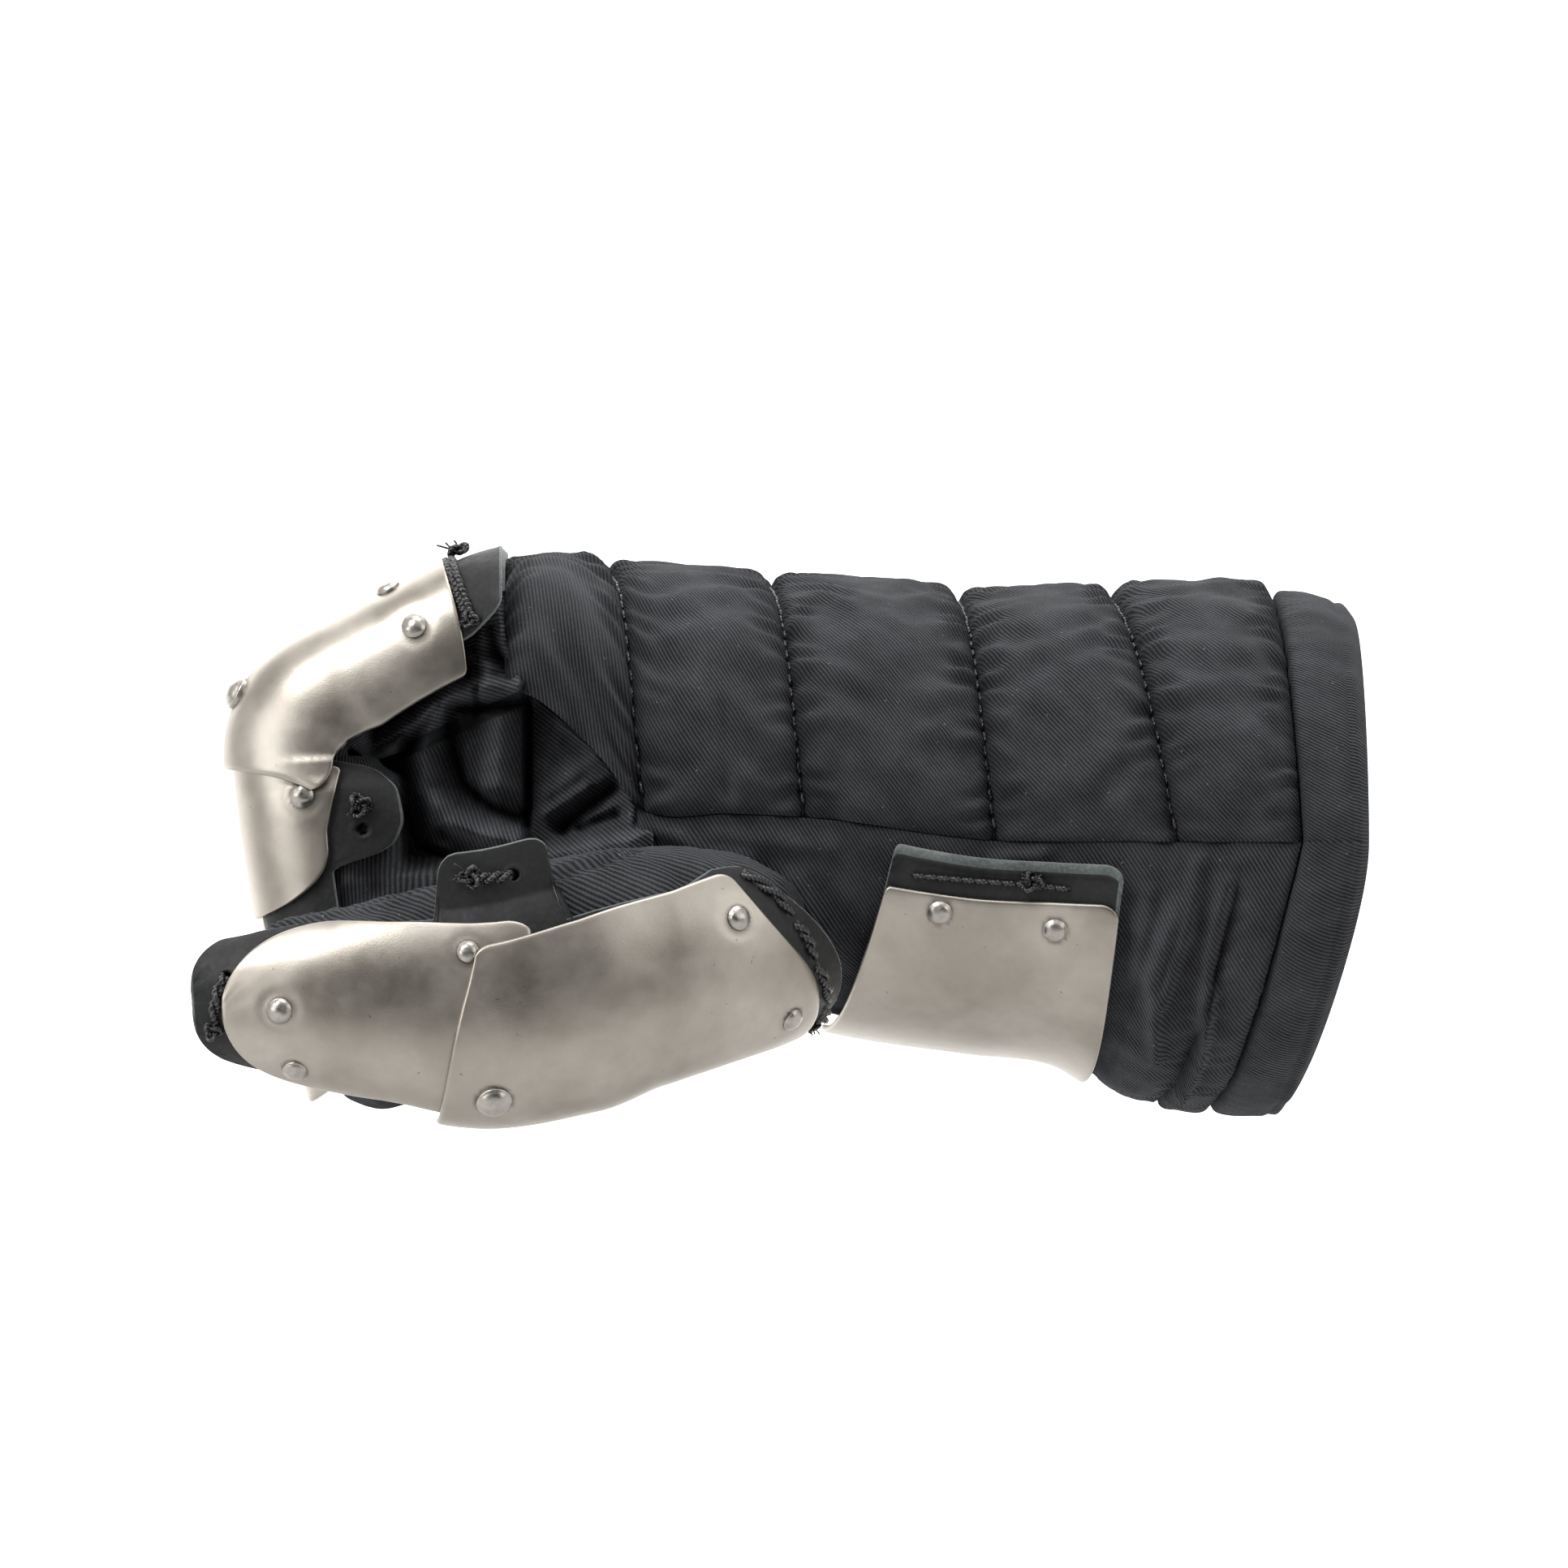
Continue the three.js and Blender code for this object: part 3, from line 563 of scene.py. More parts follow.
@dataclass
class Finger(Digit):
    """A finger of four runs: knuckle bend, straight run, joint bend, straight run."""

    y: float = 0.0
    drop: float = 0.0
    near: float = 28.5
    far: float = 59.0
    plate: float = 26.0
    slim: bool = False

    def __post_init__(self) -> None:
        """Work out the runs from the sizes."""
        self.runs = ((3.2, 20), (self.near, 15), (4.5, 56), (self.far, 12))
        self.marks = np.concatenate([[0], np.cumsum([run[0] for run in self.runs])])
        self.length = float(self.marks[-1])
        rows = np.array(FINGER_SECTION)
        if self.slim:
            rows[:, 3] = np.interp(rows[:, 0], (0, 1, 1.5, 1.74, 1.9, 2), (16, 13, 10, 8.6, 7.2,
                    4)) * (rows[:, 0] < 2) + (
                rows[:, 3] * (rows[:, 0] >= 2)
            )
        self.table = Table(("at", "half", "back", "front"), tuple(map(tuple, rows)))

    def centre(self, s: Array) -> Array:
        """Add up arcs: each run turns evenly by its own angle."""
        left = np.asarray(s, float)
        x, z, heading = np.full(left.shape, -147.4), np.full(left.shape,
                36.9 - self.drop), np.full(left.shape, np.radians(3))
        for i, (length, turn) in enumerate(self.runs):
            step = left if i == 3 else np.minimum(left, length)
            bent = np.radians(turn) / length * step
            chord = step * np.sinc(bent / 2 / np.pi)
            x = x - chord * np.cos(heading + bent / 2)
            z = z - chord * np.sin(heading + bent / 2)
            heading = heading + bent
            left = left - step
        return np.stack([x, np.full(left.shape, self.y), z], axis=-1)

    def section(self, name: str, s: Array) -> Array:
        """Read the section table by landmark: 0 mouth, 1 knuckle, 2 and 3 joint, 4 tip."""
        i = np.clip(np.searchsorted(self.marks, s, side="left") - 1, 0, 3)
        lengths = np.diff(self.marks)
        return self.table.at(name, i + (s - self.marks[i]) / lengths[i])


@dataclass
class Thumb(Digit):
    """The thumb, on a free centre line."""

    table: Table = field(
        default_factory=lambda: Table(
            ("s", "x", "y", "z", "half", "back", "front"),
            (
                (0, -101, -26, -12, 15, 14.5, 14.5),
                (14, -101.5, -41, -13, 15.5, 14.2, 14.5),
                (30, -108, -55, -14.5, 16.5, 13.8, 14),
                (47, -122, -64, -16.5, 19, 13.5, 13),
                (62, -136.5, -69, -19.3, 19.8, 13.2, 11.8),
                (76, -150, -72, -22.5, 18.8, 13, 11.6),
                (90, -164, -73, -23, 16.2, 12.6, 11.6),
                (106, -180, -72.2, -23.3, 12.8, 11.8, 11.2),
                (122, -196, -70, -24, 9.6, 10, 10),
                (138, -212, -67.6, -25, 9.6, 10, 10),
            ),
        )
    )

    def centre(self, s: Array) -> Array:
        """Read the centre line from the table."""
        return np.stack([self.table.at(name, s) for name in ("x", "y", "z")], axis=-1)

    def section(self, name: str, s: Array) -> Array:
        """Read the section from the table."""
        return self.table.at(name, s)


# ---------------------------------------------------------------- patches of armour


@dataclass(frozen=True)
class Patch:
    """The outline of a plate or a strip on a surface: its ends, its side angles and how its corners round."""

    start: tuple[float, float, float]
    end: tuple[float, float, float]
    rows: tuple[tuple[float, float, float], ...]
    round: tuple[tuple[float, float], tuple[float, float]]

    def lay(self, u: Array, v: Array, soften: float = 0.0) -> tuple[Array, Array]:
        """Give the place along and the angle of each point of the patch.

        Args:
            u: share of the length, 0 to 1.
            v: share across, -1 to 1.
            soften: share of the length over which the side outline's corners are rounded.

        Returns:
            s and the angle in degrees.
        """
        rows = np.array(self.rows)
        width = np.ones_like(u)
        for share, (over, depth) in zip((u, 1 - u), self.round):
            short = np.clip(1 - share / over, 0, 1)
            width = width * (1 - depth * (1 - np.sqrt(np.clip(1 - short * short, 0, 1))))
        taps = np.linspace(-1, 1, 9)[:, None, None] * soften if soften else np.zeros((1, 1, 1))
        weight = np.exp(-2 * (np.linspace(-1, 1, len(taps)) ** 2)) if soften else np.ones(1)
        weight = (weight / weight.sum())[:, None, None]
        low, high = (
            (np.interp(np.clip(u[None] + taps, 0, 1), rows[:, 0], rows[:, column]) * weight).sum(axis=0)
            for column in (1, 2)
        )
        angle = (low + high) / 2 + v * width * (high - low) / 2

        def skew(ends: tuple[float, float, float]) -> Array:
            """Bend an end's line: straight and curved parts."""
            first, middle, last = ends
            return (last - first) / 2 * v + ((first + last) / 2 - middle) * v * v

        s = self.start[1] + (self.end[1] - self.start[1]) * u + skew(self.start) * (1 - u) ** 3 + skew(self.end) * u**3
        return s, angle


SQUARE_END = (0.06, 0.08)
TAB_FOLD = -52.0


@dataclass(frozen=True)
class Rivet:
    """A domed rivet: where it is and its size."""

    s: float
    angle: float
    radius: float = 2.15
    rise: float = 1.1


def joint_rivet(s: float, angle: float) -> Rivet:
    """Make the bolder rivet of a middle joint."""
    return Rivet(s, angle, 3.15, 1.9)


def rivet_shape(at: Array, normal: Array, rivet: Rivet, seed: int) -> Shape:
    """Turn a dome with a worn flat top: height falls as 1 - (r / R)^2.8, with slight dents.

    Args:
        at: the foot of the rivet on its plate.
        normal: its axis.
        rivet: its size.
        seed: fixes the dents.

    Returns:
        The head.
    """
    r = np.array([0, 0.25, 0.5, 0.68, 0.8, 0.9, 0.96, 1.0, 1.0, 0.985])[:, None]
    h = rivet.rise * np.clip(1 - r**2.8, 0, 1) ** 0.75
    h[-3:] = [[rivet.rise * 0.16], [0.02], [-0.5]]
    turn = np.linspace(0, 2 * np.pi, 33)[None]
    a = unit(np.cross(normal, [0.3, 0.2, 0.9]))
    b = np.cross(normal, a)
    x, y = r * rivet.radius * np.cos(turn), r * rivet.radius * np.sin(turn)
    h = h + 0.07 * ripple(x, y, rivet.radius * 1.3, seed) * (r < 0.93)
    points = at + x[..., None] * a + y[..., None] * b + h[..., None] * normal
    return surface(points, np.stack([x, y], axis=-1), None, np.broadcast_to(normal, points.shape) + 0.3
            * (points - at))


# ---------------------------------------------------------------- finishes


@dataclass
class Maker:
    """Builds one node material step by step."""

    name: str

    def __post_init__(self) -> None:
        """Start from an empty tree with a shader and an output."""
        self.material = bpy.data.materials.new(self.name)
        self.material.use_nodes = True
        self.tree = self.material.node_tree
        self.tree.nodes.clear()
        self.shader = self.node("ShaderNodeBsdfPrincipled")
        out = self.node("ShaderNodeOutputMaterial")
        self.tree.links.new(self.shader.outputs["BSDF"], out.inputs["Surface"])

    def node(self, kind: str, inputs: dict | None = None, **settings: object) -> bpy.types.Node:
        """Add a node.

        Args:
            kind: its type.
            inputs: values or outputs for its inputs, by name or number.
            settings: its properties.

        Returns:
            The node.
        """
        made = self.tree.nodes.new(kind)
        for key, value in settings.items():
            setattr(made, key, value)
        for key, value in (inputs or {}).items():
            if isinstance(value, Socket):
                self.tree.links.new(value, made.inputs[key])
            else:
                made.inputs[key].default_value = value
        return made

    def coordinates(self, source: str, scale: float | tuple[float, float, float],
            turn: float = 0.0) -> Socket:
        """Give pattern coordinates, turned and scaled."""
        start = self.node("ShaderNodeTexCoord").outputs[source]
        scale = (scale,) * 3 if isinstance(scale, (int, float)) else scale
        return self.node("ShaderNodeMapping", {"Vector": start, "Rotation": (0, 0, turn),
                "Scale": scale}).outputs[0]

    def noise(self, where: Socket, scale: float, detail: float = 3.0, rough: float = 0.55) -> Socket:
        """Give an uneven field from 0 to 1."""
        settings = {"Vector": where, "Scale": scale, "Detail": detail, "Roughness": rough}
        return self.node("ShaderNodeTexNoise", settings).outputs["Fac"]

    def math(self, what: str, a: object, b: object = 0.0, clamp: bool = False) -> Socket:
        """Combine two numbers."""
        return self.node("ShaderNodeMath", {0: a, 1: b}, operation=what, use_clamp=clamp).outputs[0]

    def remap(self, value: Socket, low: float, high: float, to_low: float, to_high: float) -> Socket:
        """Carry a range onto another, held at its ends."""
        inputs = {0: value, 1: low, 2: high, 3: to_low, 4: to_high}
        return self.node("ShaderNodeMapRange", inputs, clamp=True).outputs[0]

    def mix(self, share: object, a: object, b: object, how: str = "MIX") -> Socket:
        """Mix two colours."""
        made = self.node("ShaderNodeMix", data_type="RGBA", blend_type=how)
        for key, value in ((0, share), (6, a), (7, b)):
            if isinstance(value, Socket):
                self.tree.links.new(value, made.inputs[key])
            else:
                made.inputs[key].default_value = value if key == 0 else (*value, 1.0)
        return made.outputs[2]

    def shade(self) -> Socket:
        """Read the colour multiplier stored at each point: painted shade where below 1, lighter where above 1."""
        return self.node("ShaderNodeAttribute", attribute_name="shade").outputs["Fac"]

    def darken(self, colour: Socket) -> Socket:
        """Multiply a colour by the stored multiplier, which paints shade into it and, above 1, lightens it."""
        grey = self.node("ShaderNodeCombineColor", {0: self.shade(), 1: self.shade(),
                2: self.shade()}).outputs[0]
        return self.mix(1.0, colour, grey, "MULTIPLY")

    def finish(self, colour: Socket, rough: object, bumps: tuple[tuple[object, float, float], ...],
               **fixed: object) -> bpy.types.Material:
        """Connect the shader.

        Args:
            colour: base colour.
            rough: roughness, a number or an output.
            bumps: heights with their strength and their depth in millimetres, the broadest first.
            fixed: plain values for the shader's own sockets.

        Returns:
            The material.
        """
        self.tree.links.new(colour, self.shader.inputs["Base Color"])
        if isinstance(rough, Socket):
            self.tree.links.new(rough, self.shader.inputs["Roughness"])
        else:
            self.shader.inputs["Roughness"].default_value = rough
        below = None
        for height, strength, depth in bumps:
            inputs = {"Height": height, "Strength": strength, "Distance": depth * MM}
            if below is not None:
                inputs["Normal"] = below
            below = self.node("ShaderNodeBump", inputs).outputs[0]
        if below is not None:
            self.tree.links.new(below, self.shader.inputs["Normal"])
        for key, value in fixed.items():
            self.shader.inputs[key.replace("_", " ")].default_value = value
        return self.material


@dataclass(frozen=True)
class Twill:
    """Near-black cotton twill: diagonal ribs broken into yarns, lint, lighter worn patches at random, and the painted
    shade and painted highlights stored on each piece.
    """

    name: str = "cotton_twill"
    dark: tuple[float, float, float] = (0.0045, 0.0048, 0.0056)
    light: tuple[float, float, float] = (0.084, 0.087, 0.0945)
    pitch: float = 0.68
    turn: float = 0.0

    def make(self) -> bpy.types.Material:
        """Make the material on the piece's own cut coordinates, in millimetres."""
        m = Maker(self.name)
        flat = m.coordinates("UV", 1.0)
        ribs_at = m.coordinates("UV", 1.0, self.turn)
        wave = {"Vector": ribs_at, "Scale": 0.314 / self.pitch, "Distortion": 0.7, "Detail": 1.0,
                "Detail Scale": 1.3}
        rib = m.node("ShaderNodeTexWave", wave, bands_direction="Y").outputs["Fac"]
        cross = dict(wave, Scale=0.314 / (self.pitch * 0.8), Distortion=1.5)
        yarn = m.node("ShaderNodeTexWave", cross, bands_direction="X").outputs["Fac"]
        weave = m.math("ADD", m.math("MULTIPLY", rib, 0.93), m.math("MULTIPLY", yarn, 0.07))
        fuzz = m.noise(flat, 2.6, 4.0, 0.7)
        worn = m.noise(flat, 0.09, 4.0, 0.6)
        height = m.math("ADD", weave, m.math("MULTIPLY", fuzz, 0.7))
        tone = m.math("ADD", m.math("MULTIPLY", weave, 0.8), m.remap(worn, 0.3, 0.7, -0.1, 0.35))
        colour = m.mix(m.math("MULTIPLY", tone, m.remap(fuzz, 0.3, 0.7, 0.65, 1.15)), self.dark, self.light)
        spots = m.node("ShaderNodeTexVoronoi", {"Vector": flat, "Scale": 0.55, "Randomness": 1.0})
        lint = m.math("LESS_THAN", spots.outputs["Distance"], 0.085)
        some = m.math("GREATER_THAN", m.noise(flat, 0.31, 2.0), 0.56)
        colour = m.mix(m.math("MULTIPLY", m.math("MULTIPLY", lint, some), 0.45), colour, (0.33, 0.35, 0.38))
        bumps = ((m.noise(flat, 0.35, 3.0), 0.25, 0.5), (height, 0.9, 0.26))
        return m.finish(m.darken(colour), 0.93, bumps, Sheen_Weight=0.1, Sheen_Roughness=0.5,
                        Sheen_Tint=(0.85, 0.9, 1.0, 1.0), Specular_IOR_Level=0.2)


@dataclass(frozen=True)
class SatinSteel:
    """Satin stainless sheet: fine grain, cloudy mottle, handling marks and soft dents."""

    name: str = "satin_steel"
    base: tuple[float, float, float] = (0.41, 0.373, 0.325)
    worn: tuple[float, float, float] = (0.60, 0.56, 0.505)
    low_rough: float = 0.25
    high_rough: float = 0.43

    def make(self) -> bpy.types.Material:
        """Make the material on object coordinates."""
        m = Maker(self.name)
        at = m.coordinates("Object", 1.0)
        cloud, mottle = m.noise(at, 55.0, 5.0, 0.6), m.noise(at, 420.0, 5.0, 0.65)
        grain = m.noise(m.coordinates("Object", (1.0, 1.0, 2.2)), 2600.0, 2.0, 0.6)
        smudge = m.remap(m.noise(at, 30.0, 3.0, 0.5), 0.56, 0.78, 0.0, 0.45)
        colour = m.mix(m.remap(cloud, 0.35, 0.7, 0.0, 1.0), self.base, self.worn)
        colour = m.mix(m.remap(mottle, 0.45, 0.75, 0.0, 0.22), colour, (0.44, 0.40, 0.35))
        colour = m.mix(smudge, colour, (0.40, 0.365, 0.32))
        fleck = m.math("GREATER_THAN", m.noise(at, 700.0, 2.0, 0.5), 0.76)
        colour = m.mix(m.math("MULTIPLY", fleck, 0.45), colour, (0.12, 0.10, 0.09))
        rough = m.math("ADD", m.remap(cloud, 0.3, 0.75, self.low_rough, self.high_rough),
                m.math("MULTIPLY", mottle, 0.06))
        scratch = m.noise(m.coordinates("Object", (1.0, 1.0, 14.0), 0.0), 160.0, 3.0, 0.6)
        bumps = ((m.noise(at, 24.0, 1.0), 0.2, 0.4), (scratch, 0.07, 0.06), (grain, 0.45, 0.04))
        return m.finish(m.darken(colour), rough, bumps, Metallic=1.0)


@dataclass(frozen=True)
class BrightSteel:
    """The rivets' worn heads: brighter, smoother, with hammer marks."""

    name: str = "bright_steel"

    def make(self) -> bpy.types.Material:
        """Make the material on object coordinates."""
        m = Maker(self.name)
        at = m.coordinates("Object", 1.0)
        cloud = m.noise(at, 900.0, 3.0)
        colour = m.mix(cloud, (0.33, 0.31, 0.28), (0.66, 0.63, 0.585))
        return m.finish(m.darken(colour), m.remap(cloud, 0.3, 0.7, 0.24, 0.42),
                ((m.noise(at, 500.0, 2.0), 0.4, 0.25),), Metallic=1.0)


@dataclass(frozen=True)
class Hide:
    """Charcoal leather with a fine pebble grain, or its fuzzy green-grey cut edge."""

    name: str
    dark: tuple[float, float, float]
    light: tuple[float, float, float]
    rough: float
    cut: bool = False

    def make(self) -> bpy.types.Material:
        """Make the material on object coordinates, so grain and cut edge meet without a seam."""
        m = Maker(self.name)
        at = m.coordinates("Object", 1.0)
        pebble = m.node("ShaderNodeTexVoronoi",
                {"Vector": at, "Scale": 1500.0 if self.cut else 900.0}).outputs["Distance"]
        crease, cloud = m.noise(at, 500.0, 5.0, 0.65), m.noise(at, 70.0, 4.0, 0.6)
        share = m.math("ADD", m.remap(cloud, 0.35, 0.7, 0.0, 0.6), m.remap(pebble, 0.0, 0.7, 0.4, 0.0))
        colour = m.mix(share, self.dark, self.light)
        rough = m.remap(crease, 0.3, 0.7, self.rough - 0.08, self.rough + 0.1)
        bumps = ((crease, 0.5 if self.cut else 0.3, 0.25), (pebble, 0.6 if self.cut else 0.28, 0.14))
        extra = {"Sheen_Weight": 0.5, "Sheen_Roughness": 0.5} if self.cut else {"Specular_IOR_Level": 0.42}
        return m.finish(m.darken(colour), rough, bumps, **extra)


@dataclass(frozen=True)
class WaxedThread:
    """Glossy black waxed thread, ribbed by its twist, with painted glints along its ply."""

    name: str = "waxed_thread"

    def make(self) -> bpy.types.Material:
        """Make the material with its twist along the thread's length."""
        m = Maker(self.name)
        along = m.coordinates("UV", (1.0, 0.35, 1.0), 0.6)
        ply = m.node("ShaderNodeTexWave", {"Vector": along, "Scale": 0.5, "Distortion": 1.0},
                bands_direction="X").outputs["Fac"]
        # The ply bands are the twist's pattern, lightened far past black thread as painted glints.
        colour = m.mix(m.math("MULTIPLY", ply, m.noise(along, 1.7)), (0.004, 0.004, 0.0045),
                (0.085, 0.086, 0.09))
        return m.finish(m.darken(colour), m.remap(ply, 0.0, 1.0, 0.42, 0.22), ((ply, 0.7, 0.18),),
                Specular_IOR_Level=0.75)


@dataclass(frozen=True)
class Plain:
    """A pale studio surface, faintly uneven, or one that glows as painted light more the farther back it lies and
    whose colour is painted darker towards the camera.
    """

    name: str
    colour: tuple[float, float, float]
    glow: float = 0.0

    def make(self) -> bpy.types.Material:
        """Make the material on object coordinates."""
        m = Maker(self.name)
        cloud = m.noise(m.coordinates("Object", 1.0), 2.0)
        warm = (1.0, 0.985, 0.965, 1.0)
        near = tuple(0.985 * c for c in self.colour)
        if not self.glow:
            return m.finish(m.mix(cloud, near, self.colour), 0.9, (), Emission_Color=warm)
        # Painted light: the floor glows though it is no lamp, more the farther back it lies.
        far = m.node("ShaderNodeSeparateXYZ", {"Vector": m.coordinates("Object", 1.0)}).outputs["Y"]
        strength = m.remap(far, 0.15, 0.75, 0.06 * self.glow, self.glow)
        m.tree.links.new(strength, m.shader.inputs["Emission Strength"])
        # Painted shade: the floor's colour darkens towards the camera, so the steel mirrors a dark band.
        dark, grey = (0.11, 0.11, 0.11), tuple(0.6 * c for c in self.colour)
        dim = m.mix(m.remap(far, -0.7, -0.22, 0.0, 1.0), dark, grey)
        return m.finish(m.mix(m.remap(far, 0.05, 0.6, 0.0, 1.0), dim, near), 0.9, (), Emission_Color=warm)


@dataclass
class Finishes:
    """All finishes of the gauntlet."""

    def __post_init__(self) -> None:
        """Make each one once."""
        self.twill = Twill().make()
        self.steel = SatinSteel().make()
        self.bright = BrightSteel().make()
        self.leather = Hide("charcoal_leather", (0.009, 0.0100, 0.0100), (0.0235, 0.0255, 0.0245),
                0.55).make()
        self.cut_edge = Hide("cut_leather_edge", (0.045, 0.056, 0.054), (0.15, 0.178, 0.172), 0.9,
                cut=True).make()
        self.thread = WaxedThread().make()


# ---------------------------------------------------------------- soft goods


@dataclass
class QuiltedBack:
    """Five padded tubes across the back of the hand, between stitched channels."""

    finishes: Finishes
    padding: float = 4.5
    rise: float = 3.4
    stitch_step: float = 0.0555
    stitch_length: float = 0.036
    stitch_radius: float = 0.3
    per_tube: int = 58
    around: int = 190
    rib_turns: tuple[float, ...] = (1.45, 1.1, 1.0, 1.0, 1.0)
    dents: tuple[Fold, ...] = (
        Fold(((-108.5, 25.5), (-107.8, 12)), 1.5, -1.3),
        Fold(((-104.5, 14), (-105.5, 7)), 2.0, 1.0),
        Fold(((-89, 10), (-86.5, 20)), 2.4, -0.9),
        Fold(((-116, 12), (-113, 24)), 3.0, 0.7),
        Fold(((-139, 44), (-131, 20)), 2.2, -0.8),
        Fold(((-142, 40), (-136, 22)), 1.8, 0.7),
        Fold(((-57, 10), (-54, 22)), 3.0, -0.7),
        Fold(((-40, 8), (-36, 20)), 2.2, -0.7),
    )

    def skin(self, raised: bool) -> tuple[Array, Array, Array]:
        """Lay out the tubes: each stands up as a half ellipse between its channels, less near the side seams.

        Args:
            raised: the outside, or else the plain inside.

        Returns:
            The points, the pattern coordinates and the painted shade in the channels.
        """
        share = (1 - np.cos(np.pi * np.linspace(0, 1, self.per_tube + 1))) / 2
        share = 0.75 * share + 0.25 * np.linspace(0, 1, self.per_tube + 1)
        around = np.linspace(0, np.pi, self.around)[None]
        points, patterns, shades = [], [], []
        length = 0.0
        for k in range(5):
            t = (share if k == 4 else share[:-1])[:, None]
            a, b = CHANNELS[k].at(around), CHANNELS[k + 1].at(around)
            x = a + (b - a) * t - 0.15 * (t == 1)
            pillow = np.sqrt(np.clip(1 - (2 * t - 1) ** 2, 0, 1)) ** 0.8
            near = np.minimum(1, np.sin(around) / 0.22) ** 0.6
            from_seam = np.minimum(t, 1 - t) * np.abs(b - a)
            base = hand_point(x, around, 0.0)
            arc = around * HAND_ARC
            if raised:
                stitch = np.sin(arc * TURN / 3.33) * bell(from_seam - 0.9, 1.1)
                pucker = np.sin(arc * TURN / 6.3 + 2.4 * ripple(arc, x, 24, 5 + k)) * (0.75 + 0.6
                        * ripple(arc, x, 15, 25 + k))
                wide = np.sin(arc * TURN / 15 + 2.6 * ripple(arc, x, 40, 45 + k))
                out = self.rise * pillow * near + 0.18 * stitch + 0.85 * pucker * bell(from_seam - 2.6, 3.0)
                out = out - 0.9 * bell(from_seam, 0.9) * (t > 0) + 0.6 * wide * bell(from_seam - 8, 6)
                out = out + 0.35 * ripple(x, arc, 26, 3) * pillow + 0.1 * ripple(x, arc, 9, 4) * pillow
                out = out + relief(base[..., 0], base[..., 2], self.dents) * (base[..., 1] < 0) * pillow
                front = np.clip(1 - from_seam / 6.0, 0, 1) * (k == 0) * (t < 0.5)
                out = out - (1.2 + 3.6 * smoothstep(np.abs(np.cos(around)), 0.5, 0.85)) * front**2.2
            else:
                out = np.full(x.shape, -self.padding)
            points.append(hand_point(x, around, out))
            turn = self.rib_turns[k]
            along = length + (x - a)
            patterns.append(turned(along, arc, turn))
            # Painted shade: darker in the stitched channels and a little way up each side of them.
            shades.append(1 - 0.62 * bell(from_seam, 1.5) - 0.25 * bell(from_seam, 4.5))
            length += TUBE_STEP
        return np.concatenate(points), np.concatenate(patterns), np.concatenate(shades)

    def build(self) -> None:
        """Build the padded back as one wall, and its stitches."""
        outer, uv, shade = self.skin(True)
        inner, _, _ = self.skin(False)
        shape = sheet(outer, inner, uv, shade)
        piece = build("quilted_back_cloth", shape, (self.finishes.twill,), ("quilted_back",))
        self.stitches()

    def stitches(self) -> None:
        """Sew each channel: short threads 3.3 mm apart, sunk into the groove."""
        shapes = []
        for k in range(1, 5):
            for start in np.arange(0.05, 3.09, self.stitch_step):
                around = np.linspace(start, start + self.stitch_length, 5)
                sink = 0.25 - 0.35 * np.abs(np.linspace(-1, 1, 5)) ** 3
                x = CHANNELS[k].at(around) + 0.12 * np.sin(start * 37)
                shapes.append(tube(hand_point(x, around, sink), self.stitch_radius, 6))
        build("quilt_stitches", joined(shapes), (self.finishes.thread,))


